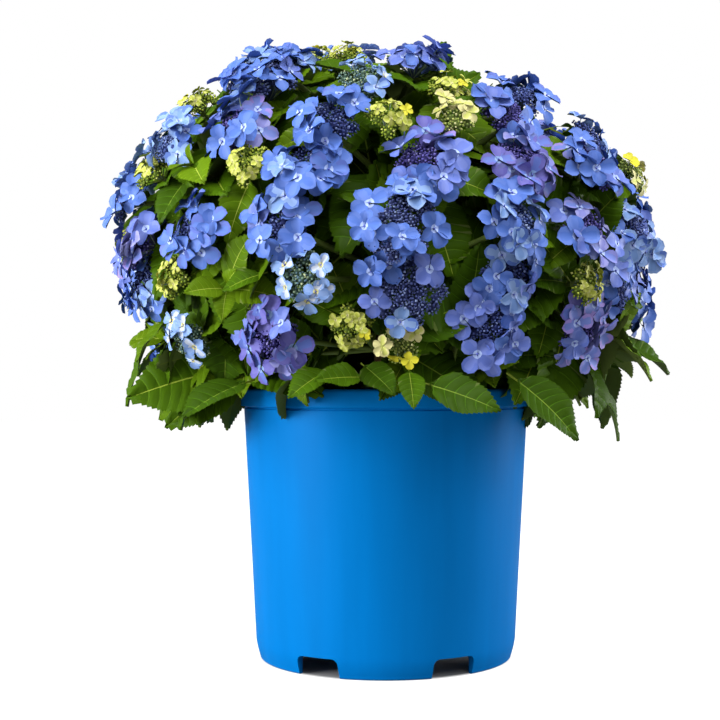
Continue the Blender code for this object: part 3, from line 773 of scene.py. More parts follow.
def limbs_mesh(name, limbs, finishes, sides, relief, step=0.003):
    """A mesh of limbs: (points, radii, tone)."""
    points = []
    edges = []
    thick = []
    tones = []
    for line, radii, tone in limbs:
        first = len(points)
        points.extend(tuple(point) for point in line)
        edges.extend((first + i, first + i + 1) for i in range(len(line) - 1))
        thick.extend(radii)
        tones.extend([tone] * len(line))
    source = bpy.data.meshes.new(name)
    source.from_pydata(points, edges, [])
    set_values(source, "thick", "FLOAT", "POINT", thick)
    set_values(source, "tone", "FLOAT", "POINT", tones)
    tree = limb_tree(name, finishes)
    return made_by(name, source, tree, {"Sides": sides, "Relief": relief, "Step": step})


def set_out_layers(name, places, forms, finishes):
    """A finished piece for each layer of the crown, with a form at each of the layer's places."""
    for layer in LAYERS:
        mesh = set_out(f"{name}_{layer}", places[layer], forms, finishes)
        finish_piece(f"{name}_{layer}", mesh, cad_nodes(f"mass_{layer}"))


# Forms that are set out many times


def form_collection(name, meshes):
    """A collection, outside the scene, of these forms in order."""
    collection = bpy.data.collections.new(name)
    for number, mesh in enumerate(meshes):
        collection.objects.link(bpy.data.objects.new(f"{name}_{number:02d}", mesh))
    return collection


def form_mesh(name, verts, faces, parts, smooth=True):
    """A form's mesh: doubles merged, and creased along its sharp margins."""
    bm = bmesh.new()
    layer = bm.faces.layers.float.new("part")
    corners = [bm.verts.new(v) for v in verts]
    for face, part in zip(faces, parts):
        made = bm.faces.new([corners[i] for i in face])
        made[layer] = part
        made.smooth = smooth
    bmesh.ops.remove_doubles(bm, verts=bm.verts, dist=0.00002)
    bmesh.ops.dissolve_degenerate(bm, edges=bm.edges, dist=0.00002)
    for edge in bm.edges:
        if len(edge.link_faces) == 2:
            edge.smooth = edge.calc_face_angle(0.0) < math.radians(70.0)
    mesh = bpy.data.meshes.new(name)
    bm.to_mesh(mesh)
    bm.free()
    return mesh


def sheet_faces(rows, across, first, below=False):
    """Quads between rows of this many corners, facing up, or down where they are below."""
    faces = []
    for row in range(rows - 1):
        for column in range(across - 1):
            a = first + row * across + column
            quad = (a, a + across, a + across + 1, a + 1)
            faces.append(quad[::-1] if below else quad)
    return faces


LEAF_STALK = 0.12  # of a leaf's length
LEAF_VEINS = (8, 6)  # of a grown leaf and of a small one
LEAF_DROOPS = (14.0, 22.0, 31.0, 41.0)
DROOP_FORMS = 3  # forms of each droop
SMALL_LEAF = 0.066
FIRST_VEIN = 0.055  # place of the lowest vein along the blade
VEIN_SPAN = 0.74  # from the lowest vein to the highest
VEIN_SWEEP = 0.24
VEIN_HALF = 0.0075  # half a vein's width at the midrib
MIDRIB_HALF = 0.0085
MIDRIB_SINK = 0.008
BLADE_THICK = 0.015  # at the midrib
DROOP_STEPS = 40
TOOTH = 0.30  # height of a tooth, of its stretch of the margin
QUILT = 0.036  # how far the blade swells between two veins
STALK_RINGS = ((-0.01, 0.015), (0.06, 0.011), (0.16, 0.010))  # way along the leaf, radius
# Half the blade's width at places along it, as shares of the widest
BLADE_PLACES = (0.0, 0.04, 0.12, 0.25, 0.42, 0.58, 0.74, 0.87, 0.95, 1.0)
BLADE_WIDTHS = (0.0, 0.26, 0.62, 0.92, 1.0, 0.90, 0.64, 0.33, 0.12, 0.0)


def leaf_rows(veins):
    """Places of the rows along a blade, and whether a vein runs between each and the next."""
    rows = [(0.0, False, 0.0)]
    pitch = VEIN_SPAN / (veins - 1)
    for vein in range(veins):
        place = FIRST_VEIN + pitch * vein
        rows.append((place, True, -1.0))
        rows.append((place, False, 1.0))
        rows.append((place + pitch * 0.52, False, 0.0))
    rows.append((0.955, False, 0.0))
    rows.append((1.0, False, 0.0))
    return rows


def leaf_form(name, droop, fold, wave, phase, veins):
    """A hydrangea leaf one unit long: toothed margin, sunk veins with quilted blade between, stalk."""
    rows = leaf_rows(veins)
    columns = (-1.0, -0.68, -0.36, -0.06, 0.06, 0.36, 0.68, 1.0)
    ways = np.linspace(0.0, 1.0, DROOP_STEPS + 1)
    bends = -math.radians(droop) * 1.25 * ways**1.3
    line_x = np.concatenate(([0.0], np.cumsum(np.cos(bends[1:]) / DROOP_STEPS)))
    line_z = np.concatenate(([0.0], np.cumsum(np.sin(bends[1:]) / DROOP_STEPS)))

    def placed(way, across, up):
        bend = np.interp(way, ways, bends)
        x = np.interp(way, ways, line_x) - up * math.sin(bend)
        z = np.interp(way, ways, line_z) + up * math.cos(bend)
        return x, across, z

    def blade_point(number, column, sink):
        place, _, side = rows[number]
        share = abs(column)
        rib = share < 0.1
        place = place + side * VEIN_HALF * (1.0 - 0.75 * share)
        along = min(1.0, place + VEIN_SWEEP * share**1.4 * (1.0 - place) * min(1.0, place * 4.0))
        half = float(np.interp(along, BLADE_PLACES, BLADE_WIDTHS)) * LEAF_WIDTH / 2.0
        if rib:
            across = math.copysign(min(MIDRIB_HALF * (1.0 - 0.7 * along), half * 0.5), column)
        else:
            across = column * half
        up = abs(across) * (fold + wave * math.sin(2.0 * math.pi * (1.6 * along + phase)))
        if side == 0.0 and not rib and share < 1.0:
            up += QUILT * math.sin(math.pi * share)
        way = LEAF_STALK + (1.0 - LEAF_STALK) * along
        groove = MIDRIB_SINK * (1.0 - along) if rib and sink == 0.0 else 0.0
        return placed(way, across, up - groove - sink)

    verts = [blade_point(n, c, 0.0) for n in range(len(rows)) for c in columns]
    faces = sheet_faces(len(rows), len(columns), 0)
    parts = [4 if c == 3 else int(rows[n][1]) for n in range(len(rows) - 1) for c in range(len(columns) - 1)]
    under = (-1.0, -0.06, 0.06, 1.0)
    first = len(verts)
    depth = {-1.0: 0.0, 1.0: 0.0, -0.06: BLADE_THICK, 0.06: BLADE_THICK}
    verts += [blade_point(n, c, depth[c]) for n in range(len(rows)) for c in under]
    faces += sheet_faces(len(rows), len(under), first, below=True)
    parts += [3 if c == 1 else 2 for n in range(len(rows) - 1) for c in range(len(under) - 1)]
    faces = toothed(verts, faces, len(rows), ((0, len(columns)), (first, len(under))))
    first = len(verts)
    around = [(math.cos(a), math.sin(a)) for a in (0.8, 2.4, 3.9, 5.5)]
    for way, radius in STALK_RINGS:
        if way > 0.0:
            verts += [placed(way, radius * y, radius * z - 0.004) for y, z in around]
        else:
            verts += [(way, radius * y, radius * z) for y, z in around]
    for ring in range(2):
        for side in range(4):
            a = first + ring * 4 + side
            b = first + ring * 4 + (side + 1) % 4
            faces.append((a, b, b + 4, a + 4))
            parts.append(3)
    faces += [(first + 3, first + 2, first + 1, first), (first + 8, first + 9, first + 10, first + 11)]
    parts += [3, 3]
    return form_mesh(name, verts, faces, parts)


def toothed(verts, faces, rows, sheets):
    """The faces with a forward-pointing tooth on each long stretch of the margin."""
    teeth = {}
    for row in range(rows - 1):
        for last in (0, 1):
            ends = [
                [start + (row + step) * wide + (wide - 1) * last for step in (0, 1)] for start, wide in sheets
            ]
            foot, top = (Vector(verts[i]) for i in ends[0])
            stretch = (top - foot).length
            if stretch < 0.012:
                continue
            side = math.copysign(1.0, foot.y + top.y)
            tip = foot.lerp(top, 0.72) + Vector((TOOTH * 0.8, TOOTH * side, 0.0)) * stretch
            for pair in ends:
                teeth[frozenset(pair)] = len(verts)
            verts.append(tuple(tip))
    made = []
    for face in faces:
        corners = []
        for corner, after in zip(face, (*face[1:], face[0])):
            corners.append(corner)
            if frozenset((corner, after)) in teeth:
                corners.append(teeth[frozenset((corner, after))])
        made.append(tuple(corners))
    return made


# Rows across a sepal: how far out, and half its width there
SEPAL_ROWS = ((0.03, 0.020), (0.11, 0.086), (0.21, 0.166), (0.32, 0.222), (0.43, 0.204), (0.50, 0.092))
SEPAL_FOLD = 0.055  # how far a sepal's two halves rise from its middle
SEPAL_THICK = 0.016
SEPAL_POINT = 0.022  # how far its middle runs out beyond its rim
SEPAL_BEND = 0.10  # how far its rim bends down
SEPAL_TWIST = 0.08
SEPAL_CUP = 0.23  # half the width that the cup is measured on
# Space round a floret's middle that stays clear: above its sepals of a bud and of a dark core of painted
# shade, then below them and beside
OVER_SEPALS = (0.0065, 0.004)
UNDER_SEPALS = 0.0018
SEPAL_REACH = 0.43
# Forms of a floret: how strongly its sepals are cupped, how far they lift, and how many there are
FLORET_SHAPES = (
    (0.10, 0.04, 4),
    (0.20, 0.08, 4),
    (0.34, 0.14, 4),
    (0.16, 0.00, 4),
    (0.26, 0.10, 5),
    (0.12, 0.02, 4),
)


def sepal(turn, length, width, cup, lift, level, twist):
    """Corners, faces and parts of one cupped sepal about a floret's middle."""
    columns = (-1.0, -0.5, 0.0, 0.5, 1.0)
    verts = []
    for depth in (0.0, SEPAL_THICK):
        for row, (reach, half) in enumerate(SEPAL_ROWS):
            share = reach / SEPAL_ROWS[-1][0]
            for column in columns:
                across = column * half * width
                out = math.sqrt(reach**2 - (0.8 * across) ** 2) * length
                if column == 0.0:
                    out += SEPAL_POINT * share
                up = level + lift * share - SEPAL_BEND * share**3
                up += cup * (across / SEPAL_CUP) ** 2 * SEPAL_CUP
                up += twist * column * share * SEPAL_TWIST + SEPAL_FOLD * abs(column) * share
                if abs(column) < 1.0 and 0 < row < len(SEPAL_ROWS) - 1:
                    up -= depth
                x = out * math.cos(turn) - across * math.sin(turn)
                y = out * math.sin(turn) + across * math.cos(turn)
                verts.append((x, y, up))
    count = len(SEPAL_ROWS)
    faces = sheet_faces(count, 5, 0) + sheet_faces(count, 5, count * 5, below=True)
    parts = []
    for row in range(count - 1):
        for column in range(4):
            inner = row == 1 or (row < 4 and column in (1, 2))
            parts.append(0 if row == 0 else 1 if inner else 2)
    parts += [3] * ((count - 1) * 4)
    return verts, faces, parts


def floret_form(name, seed, cup, lift, sepals):
    """A showy floret one unit across: overlapping cupped sepals round a small closed eye."""
    dice = random.Random(seed)
    verts = []
    faces = []
    parts = []
    for number in range(sepals):
        turn = 2.0 * math.pi * number / sepals + dice.uniform(-0.12, 0.12)
        made = sepal(
            turn,
            dice.uniform(0.93, 1.10),
            dice.uniform(0.96, 1.14) * (4.0 / sepals) ** 0.5,
            cup * dice.uniform(0.2, 1.8),
            lift + dice.uniform(-0.06, 0.08),
            0.022 * (number % 2),
            dice.uniform(-1.0, 1.0),
        )
        faces += [tuple(i + len(verts) for i in face) for face in made[1]]
        verts += made[0]
        parts += [part + 5 if number % 2 and part in (1, 2) else part for part in made[2]]
    first = len(verts)
    verts += [(0.0, 0.0, 0.070), (0.0, 0.0, -0.03)]
    verts += [(0.036 * math.cos(a), 0.036 * math.sin(a), 0.030) for a in np.arange(5) * 2.0 * math.pi / 5.0]
    for side in range(5):
        a = first + 2 + side
        b = first + 2 + (side + 1) % 5
        faces += [(first, a, b), (first + 1, b, a)]
        parts += [4, 4]
    return form_mesh(name, verts, faces, parts)


def bead_form(name, sides, part, low, high):
    """A rounded bead of unit radius: a ring of corners with a point above and below."""
    verts = [(0.0, 0.0, high), (0.0, 0.0, low)]
    verts += [(math.cos(a), math.sin(a), 0.1) for a in np.arange(sides) * 2.0 * math.pi / sides]
    faces = []
    for side in range(sides):
        a = 2 + side
        b = 2 + (side + 1) % sides
        faces += [(0, a, b), (1, b, a)]
    mesh = form_mesh(name, verts, faces, [part] * len(faces))
    for edge in mesh.edges:
        edge.use_edge_sharp = False
    return mesh


def ray_form(name, part):
    """A three-sided stalk of unit length and radius along +X, closed at both ends."""
    ring = [(math.cos(a), math.sin(a)) for a in (0.5, 2.6, 4.7)]
    verts = [(0.0, y, z) for y, z in ring] + [(1.0, y * 0.7, z * 0.7) for y, z in ring]
    faces = [(2, 1, 0), (3, 4, 5)] + [(i, (i + 1) % 3, (i + 1) % 3 + 3, i + 3) for i in range(3)]
    return form_mesh(name, verts, faces, [part] * 5)


# Growth: the rule that the solids grew by, carried on to finer parts


def crown_reach(height):
    """How far the middles of the flower heads stand from the axis at this height."""
    if height > CROWN_BELT:
        share = min(1.0, (height - CROWN_BELT) / CROWN_RISE)
        return CROWN_SIDE * (1.0 - share**RISE_POWER) ** (1.0 / RISE_POWER)
    share = (CROWN_BELT - height) / CROWN_DROP
    return CROWN_SIDE * (1.0 - share**DROP_POWER) ** (1.0 / DROP_POWER)


def leaning(height):
    """How far the crown's middle stands to the right of the axis at this height."""
    return -CROWN_LEAN * max(0.0, height - CROWN_BELT) ** 2


def in_crown(point):
    """Whether a leaf's corner stays in the space that the crown fills."""
    away = math.hypot(point.x - leaning(point.z), point.y)
    rise = max(0.0, point.z - CROWN_BELT) / (CROWN_RISE + LEAF_CREST)
    reach = away / (CROWN_SIDE + LEAF_MARGIN * (1.0 - 0.9 * min(1.0, rise * 1.6)))
    hem = LEAF_HEM + HEM_ARCH * (point.y / max(away, GAP)) ** 2
    return reach**RISE_POWER + rise**RISE_POWER < 1.0 and point.z > hem


def crown_normal(bearing, height):
    """The direction in which a head at this place looks."""
    step = 0.004
    slope = (crown_reach(height - step) - crown_reach(height + step)) / (2.0 * step)
    rise = math.atan(slope) + math.radians(HEAD_LIFT)
    return polar(bearing, math.cos(rise), math.sin(rise))


class Shoot:
    """One shoot: its tier's layer, where it ends, which way it looks and what it ends in."""

    def __init__(self, layer, number, bearing, height, share, ending, out):
        self.dice = random.Random(f"{SEED} {layer}_{number}")
        self.fine = random.Random(f"fine {layer}_{number}")
        self.bearing = bearing + self.dice.uniform(-JITTER_BEARING, JITTER_BEARING)
        height += self.dice.uniform(-JITTER_HEIGHT, JITTER_HEIGHT)
        depth = self.dice.uniform(0.0, JITTER_DEPTH) - out
        self.end = polar(self.bearing, crown_reach(height) * share - depth, height)
        self.end.x += leaning(height)
        self.end.z -= CREST_SINK * max(0.0, height - CREST_FOOT)
        stray = Vector([self.dice.uniform(-JITTER_LOOK, JITTER_LOOK) for _ in range(3)])
        nod = polar(self.bearing, HEAD_NOD * max(0.0, 1.0 - abs(height - NOD_HEIGHT) / NOD_SPAN), 0.0)
        self.look = (crown_normal(self.bearing, height) + stray + nod).normalized()
        self.ending = ending
        self.layer = layer
        self.radius, self.florets, self.floret_size = ENDINGS[ending][1:]
        self.hub = self.end - self.look * (self.radius * DISC_RISE)
        self.headed = self.radius > 0.0


def all_shoots():
    """Every shoot of the crown, tier by tier, each in a slot as wide as what it ends in."""
    shoots = []
    for layer, height, share, first, endings in TIERS:
        slots = [ENDINGS[letter][0] for letter in endings]
        scale = 360.0 / sum(slots)
        bearing = first - slots[0] * scale / 2.0
        for place, (letter, slot) in enumerate(zip(endings, slots)):
            middle = bearing + slot * scale / 2.0
            ending = RIPENED.get((height, place), letter)
            out = STANDING_OUT.get((height, place), 0.0)
            shoots.append(Shoot(layer, len(shoots), middle, height, share, ending, out))
            bearing += slot * scale
    return shoots


def mass_shoots(shoots):
    """The shoots of each mass, by layer and number."""
    masses = {}
    for shoot in shoots:
        count = LAYERS[shoot.layer][2]
        number = round((shoot.bearing - CANE_TURN) / 360.0 * count) % count
        masses.setdefault((shoot.layer, number), []).append(shoot)
    return masses


def bough_tip(layer, members):
    """Where the bough of these shoots ends, and which way it points there."""
    heart_height, share, _ = LAYERS[layer]
    heart = Vector((0.0, 0.0, heart_height))
    aim = sum((shoot.end for shoot in members), Vector()) / len(members)
    tip = heart.lerp(aim, share)
    return tip, (aim - tip).normalized()


class Leaf:
    """One leaf: root, direction, upper face, length, how far it droops, and its tone."""

    def __init__(self, root, direction, face, length, droop, tone):
        self.root = root
        self.direction = direction
        self.side = direction.cross(face).normalized()
        self.upper = self.side.cross(direction).normalized()
        self.length = length
        self.droop = droop
        self.tone = tone

    def samples(self, length):
        """Points of the blade's middle and sides at this length."""
        bent = Matrix.Rotation(-math.radians(self.droop), 3, self.side) @ self.direction
        waist = self.root + self.direction * (length * 0.45)
        tip = waist + bent * (length * 0.55)
        wide = self.side * (length * LEAF_WIDTH / 2.0)
        return [waist, tip, waist + wide, waist - wide, waist.lerp(tip, 0.5), self.root.lerp(waist, 0.6)]


class Crown:
    """All that grows from the boughs' tips: shoots, leaves, flower heads and florets."""

    def __init__(self, leaf_length):
        self.leaf_length = leaf_length
        self.shoots = all_shoots()
        self.masses = mass_shoots(self.shoots)
        self.tips = {key: bough_tip(key[0], members) for key, members in self.masses.items()}
        self.limbs = []
        self.leaves = {layer: [] for layer in LAYERS}
        self.keep_heads_apart()
        for key, members in self.masses.items():
            self.grow_stem(*self.tips[key], members)
        heads = [shoot for shoot in self.shoots if shoot.headed]
        self.middles = np.array([shoot.end for shoot in heads])
        self.looks = np.array([shoot.look for shoot in heads])
        self.radii = np.array([shoot.radius for shoot in heads])
        self.rings = np.array([shoot.floret_size * 0.3 for shoot in heads])
        self.shown = []
        for layer, foot, tip, droop, tone in SHOWN_LEAVES:
            self.show_leaf(layer, Vector(foot) * 0.001, Vector(tip) * 0.001, droop, tone)
        for shoot in self.shoots:
            self.grow_leaves(shoot)

    def grow_stem(self, tip, heading, members):
        """The stem beyond a bough's tip, and a shoot from it to each member's end."""
        foot = tip + heading * GAP
        self.limbs.append(([foot, foot + heading * STEM_LENGTH], [STEM_RADIUS] * 2, 0))
        for number, shoot in enumerate(members):
            share = 0.55 + 0.4 * number / len(members)
            shoot.foot = foot + heading * (STEM_LENGTH * share)
            shoot.stalk = shoot.end - shoot.look * (shoot.radius * DISC_RISE * 0.5)
            points = [shoot.foot.lerp(shoot.stalk, way) for way, _ in SHOOT_NODES]
            taper = (SHOOT_TIP_RADIUS - SHOOT_RADIUS) / len(SHOOT_NODES)
            radii = [(SHOOT_RADIUS + taper * i) * swell for i, (_, swell) in enumerate(SHOOT_NODES)]
            if not shoot.headed:
                radii[-3:] = [radius * share for radius, share in zip(radii[-3:], (0.9, 0.75, 0.6))]
            end = SHOOT_TIP_RADIUS if shoot.headed else SHOOT_TIP_RADIUS * 0.2
            self.limbs.append((points + [shoot.hub], radii + [end], 1))

    def keep_heads_apart(self):
        """A head too close to one already there comes to nothing."""
        kept = []
        for shoot in sorted(self.shoots, key=lambda s: -s.radius):
            if not shoot.headed:
                continue
            room = [(other.end - shoot.end).length / (other.radius + shoot.radius) for other in kept]
            shoot.headed = min(room, default=1.0) >= HEADS_APART
            if shoot.headed:
                kept.append(shoot)

    def grow_leaves(self, shoot):
        """Opposite pairs of leaves up a shoot, each pair across the last, and its finer ones."""
        turn = shoot.dice.uniform(0.0, 180.0)
        leafy = shoot.ending == "."
        chances = LOW_TONES if shoot.layer == "low" else UPPER_TONES
        for share, scale, spread in LEAF_NODES[leafy]:
            tone = shoot.fine.choices((0, 1, 2), chances)[0]
            self.grow_pair(shoot, shoot.dice, share, turn, self.leaf_length * scale, spread, tone)
            turn += 90.0
        for share, length, spread, tone, beyond in FINER_NODES[leafy]:
            self.grow_pair(shoot, shoot.fine, share, turn, length, spread, tone)
            turn += beyond
        share, scale, spread = INNER_NODE
        inner = random.Random(f"inner {shoot.bearing}")
        self.grow_pair(shoot, inner, share, turn + INNER_TURN, self.leaf_length * scale, spread, 1)

    def grow_pair(self, shoot, dice, share, turn, length, spread, tone):
        """Two leaves that stand opposite at a node this far up the shoot."""
        node = shoot.foot.lerp(shoot.stalk, share)
        heading = (shoot.stalk - shoot.foot).normalized()
        side = heading.orthogonal().normalized()
        for half in (0.0, 180.0):
            bearing = turn + half + dice.uniform(-LEAF_STRAY[0], LEAF_STRAY[0])
            around = Matrix.Rotation(math.radians(bearing), 3, heading) @ side
            lean = math.radians(spread + dice.uniform(-LEAF_STRAY[1], LEAF_STRAY[1]))
            direction = heading * math.cos(lean) + around * math.sin(lean)
            face = (heading + UP * 0.6).normalized()
            if abs(direction.dot(face)) > 0.8:
                face = Vector((node.x, node.y, 0.0)).normalized()
            size = length * dice.uniform(*LEAF_GROWTH)
            droop = LEAF_DROOP * dice.uniform(*LEAF_SAG)
            self.fit_leaf(shoot, Leaf(node, direction, face, size, droop, tone))

    def show_leaf(self, layer, foot, tip, droop, tone):
        """A leaf that stands out before the others, as large as the flower heads leave room for."""
        blade = tip - foot
        face = (Vector((foot.x, foot.y, 0.0)).normalized() * 0.8 + UP * 0.6).normalized()
        direction = (blade.normalized() + face * (math.radians(droop) * 0.5)).normalized()
        leaf = Leaf(foot - blade * LEAF_STALK, direction, face, blade.length, droop, tone)
        for share in SHOWN_SIZES:
            if self.clears_heads(leaf.samples(leaf.length * share)):
                leaf.length *= share
                self.leaves[layer].append(leaf)
                self.shown.append((foot.lerp(tip, 0.5), leaf.length * 0.3))
                return

    def fit_leaf(self, shoot, leaf):
        """Keep the leaf at the largest of its sizes that leaves the flower heads clear."""
        for share in LEAF_SIZES:
            points = leaf.samples(leaf.length * share)
            if any((point - middle).length < reach for point in points for middle, reach in self.shown):
                continue
            if all(in_crown(point) for point in points) and self.clears_heads(points):
                leaf.length *= share
                self.leaves[shoot.layer].append(leaf)
                return

    def clears_heads(self, points):
        """Whether no point lies in a flower head or close before it."""
        for point in points:
            away = np.array(point) - self.middles
            out = np.einsum("ij,ij->i", away, self.looks)
            wide = np.linalg.norm(away - self.looks * out[:, None], axis=1)
            beside = wide < self.radii + HEAD_MARGIN
            if np.any(beside & (out > -self.radii * HEAD_DEPTH) & (out < BEFORE_HEAD)):
                return False
            if np.any((wide < self.radii + self.rings) & (out > OVER_RING) & (out < BEFORE_RING)):
                return False
        return True


@functools.cache
def grown_crown(leaf_length):
    """The crown, grown once for these settings."""
    return Crown(leaf_length)


def crown_of(context):
    """The crown that the scene's settings ask for."""
    return grown_crown(round(context.scene.hydrangea_crown.leaf_length, 6))


# Canes and boughs


def bezier(start, start_pull, end_pull, end, share):
    """A point of the cubic curve between start and end."""
    rest = 1.0 - share
    point = start * rest**3 + start_pull * (3.0 * rest**2 * share)
    return point + end_pull * (3.0 * rest * share**2) + end * share**3


def limb_path(start, away, end, heading, straight=COLLAR):
    """Points of a limb that leaves start along away and reaches end along heading."""
    first = start + away * COLLAR
    last = end - heading * straight
    pull = (last - first).length * LIMB_BOW
    shares = [i / (LIMB_POINTS - 1) for i in range(LIMB_POINTS)]
    bow = [bezier(first, first + away * pull, last - heading * pull, last, share) for share in shares]
    return [start, *bow, end]


def ways_along(points):
    """How far along the line each point is."""
    ways = [0.0]
    for point, beyond in zip(points, points[1:]):
        ways.append(ways[-1] + (beyond - point).length)
    return ways


def limb(points, foot_radius, tip_radius, tone):
    """A tapering limb with a swelling at each pair of old leaf scars."""
    ways = ways_along(points)
    radii = []
    for way in ways:
        plain = foot_radius + (tip_radius - foot_radius) * way / ways[-1]
        off = abs((way / KNOT_PITCH) % 1.0 - 0.5) * KNOT_PITCH
        ends = min(1.0, way / KNOT_CLEAR, (ways[-1] - way) / KNOT_CLEAR)
        radii.append(plain * (1.0 + KNOT_SWELL * math.exp(-((off / KNOT_LENGTH) ** 2)) * ends))
    return points, radii, tone


def cane_limbs():
    """The canes as limbs, with each one's fork, lean and bearing."""
    canes = []
    for number in range(CANE_COUNT + 1):
        core = number == CANE_COUNT
        bearing = 0.0 if core else CANE_TURN + 360.0 / CANE_COUNT * number
        foot = polar(bearing, 0.0 if core else CANE_FOOT_REACH, SOIL_TOP + GAP)
        fork = polar(bearing, CANE_FORK_REACH, CANE_FORK_HEIGHT)
        if core:
            fork = Vector((0.0, 0.0, CORE_FORK_HEIGHT))
        lean = (fork - foot).normalized()
        points = limb_path(foot, UP, fork, lean, CANE_STRAIGHT)
        canes.append((limb(points, CANE_FOOT_RADIUS, CANE_TIP_RADIUS, 0), fork, lean, bearing))
    return canes


def bough_limbs(crown, canes):
    """The bough of each mass, as a limb from its cane to the mass's stem."""
    limbs = []
    for (layer, number), (tip, heading) in crown.tips.items():
        core = layer == "top"
        _, fork, lean, bearing = canes[-1] if core else canes[number]
        if core:
            bearing = math.degrees(math.atan2(tip.x, -tip.y))
        if layer == "high" or (core and number == 0):
            away = lean
            start = fork + away * GAP
        else:
            drop, turn = SIDE_BOUGHS[layer]
            across = polar(bearing + turn, 1.0, 0.0)
            away = (across - lean * across.dot(lean)).normalized()
            start = fork - lean * drop + away * (CANE_TIP_RADIUS + GAP)
        limbs.append(limb(limb_path(start, away, tip, heading), BOUGH_FOOT_RADIUS, BOUGH_TIP_RADIUS, 0))
    return limbs


# Pot and mix


def pot_radius(height):
    """The outer radius of the pot's tapering side."""
    share = height / (RIM_HEIGHT - RIM_BAND)
    return POT_FOOT_RADIUS + (POT_TOP_RADIUS - POT_FOOT_RADIUS) * share


def arc(middle, radius, start, end, steps):
    """Points of an arc of a profile, with angles in degrees."""
    turns = [math.radians(start + (end - start) * i / steps) for i in range(steps + 1)]
    return [(middle[0] + radius * math.cos(t), middle[1] + radius * math.sin(t)) for t in turns]


def pot_profile(foot_round):
    """The pot's section, from its inner rim over and down the outside, and back up inside."""
    rim_foot = RIM_HEIGHT - RIM_BAND
    inner_top = POT_TOP_RADIUS - WALL
    floor_top = FLOOR_HEIGHT + FLOOR_THICK
    foot = POT_FOOT_RADIUS - FOOT_INSET
    outside = arc((inner_top + INNER_EDGE, RIM_HEIGHT - INNER_EDGE), INNER_EDGE, 180.0, 90.0, 4)
    outside += arc((RIM_RADIUS - RIM_ROLL, RIM_HEIGHT - RIM_ROLL), RIM_ROLL, 90.0, 0.0, 6)
    outside += arc((RIM_RADIUS - RIM_EDGE, rim_foot + RIM_EDGE), RIM_EDGE, 0.0, -90.0, 4)
    outside += arc((POT_TOP_RADIUS, rim_foot - GROOVE), GROOVE, 90.0, 270.0, 8)
    under = rim_foot - 2.0 * GROOVE
    walls = [under - (under - FOOT_DRAFT) * i / SIDE_STEPS for i in range(1, SIDE_STEPS + 1)]
    outside += [(pot_radius(z), z) for z in walls]
    wide = pot_radius(FOOT_DRAFT)
    for step in range(1, FOOT_STEPS):
        share = step / FOOT_STEPS
        outside.append((wide + (foot - wide) * share**1.6, FOOT_DRAFT + (foot_round - FOOT_DRAFT) * share))
    outside += arc((foot - foot_round, foot_round), foot_round, 0.0, -78.0, 6)
    inner_foot = foot - FOOT_ROUND * 0.6 - FOOT_WIDTH
    outside += [(inner_foot, 0.0), (inner_foot, FLOOR_HEIGHT), (0.0, FLOOR_HEIGHT)]
    corner = floor_top + FLOOR_CORNER
    inside = [(0.0, floor_top), (pot_radius(floor_top) - WALL - FLOOR_CORNER, floor_top)]
    inside += [(pot_radius(corner) - WALL, corner), (inner_top, rim_foot)]
    return outside + inside


def turned_object(name, profile, steps):
    """An object turned from a closed profile."""
    mesh = bpy.data.meshes.new(name)
    edges = [(i, i + 1) for i in range(len(profile) - 1)]
    if profile[0][0] > 0.0:
        edges.append((len(profile) - 1, 0))
    mesh.from_pydata([(reach, 0.0, height) for reach, height in profile], edges, [])
    item = bpy.data.objects.new(name, mesh)
    bpy.context.scene.collection.objects.link(item)
    screw = item.modifiers.new("turn", "SCREW")
    screw.steps = steps
    screw.render_steps = steps
    screw.use_merge_vertices = True
    screw.merge_threshold = 0.00001
    return item


def notch_block(number):
    """A round-cornered block that opens the skirt between two feet."""
    bm = bmesh.new()
    bmesh.ops.create_cube(bm, size=1.0)
    bmesh.ops.scale(bm, verts=bm.verts, vec=(NOTCH_WIDTH, 2.0 * POT_FOOT_RADIUS / 5.0, 2.0 * FLOOR_HEIGHT))
    upper = [e for e in bm.edges if all(v.co.z > 0.0 for v in e.verts)]
    along = [e for e in upper if abs(e.verts[0].co.y - e.verts[1].co.y) > NOTCH_ROUND]
    bmesh.ops.bevel(bm, geom=along, offset=NOTCH_ROUND, segments=6, affect="EDGES", profile=0.5)
    turn = math.radians(360.0 / NOTCH_COUNT * (number + 0.5))
    shift = Matrix.Translation((0.0, -POT_FOOT_RADIUS, -GAP))
    bmesh.ops.transform(bm, matrix=Matrix.Rotation(turn, 4, "Z") @ shift, verts=bm.verts)
    mesh = bpy.data.meshes.new("notch")
    bm.to_mesh(mesh)
    bm.free()
    block = bpy.data.objects.new(f"notch_{number}", mesh)
    bpy.context.scene.collection.objects.link(block)
    return block


def shade_by_angle(mesh, degrees):
    """Smooth shading, creased where faces meet more sharply than this."""
    bm = bmesh.new()
    bm.from_mesh(mesh)
    bmesh.ops.remove_doubles(bm, verts=bm.verts, dist=0.00001)
    bmesh.ops.recalc_face_normals(bm, faces=bm.faces)
    for face in bm.faces:
        face.smooth = True
    for edge in bm.edges:
        edge.smooth = edge.calc_face_angle(0.0) < math.radians(degrees)
    bm.to_mesh(mesh)
    bm.free()
    return mesh


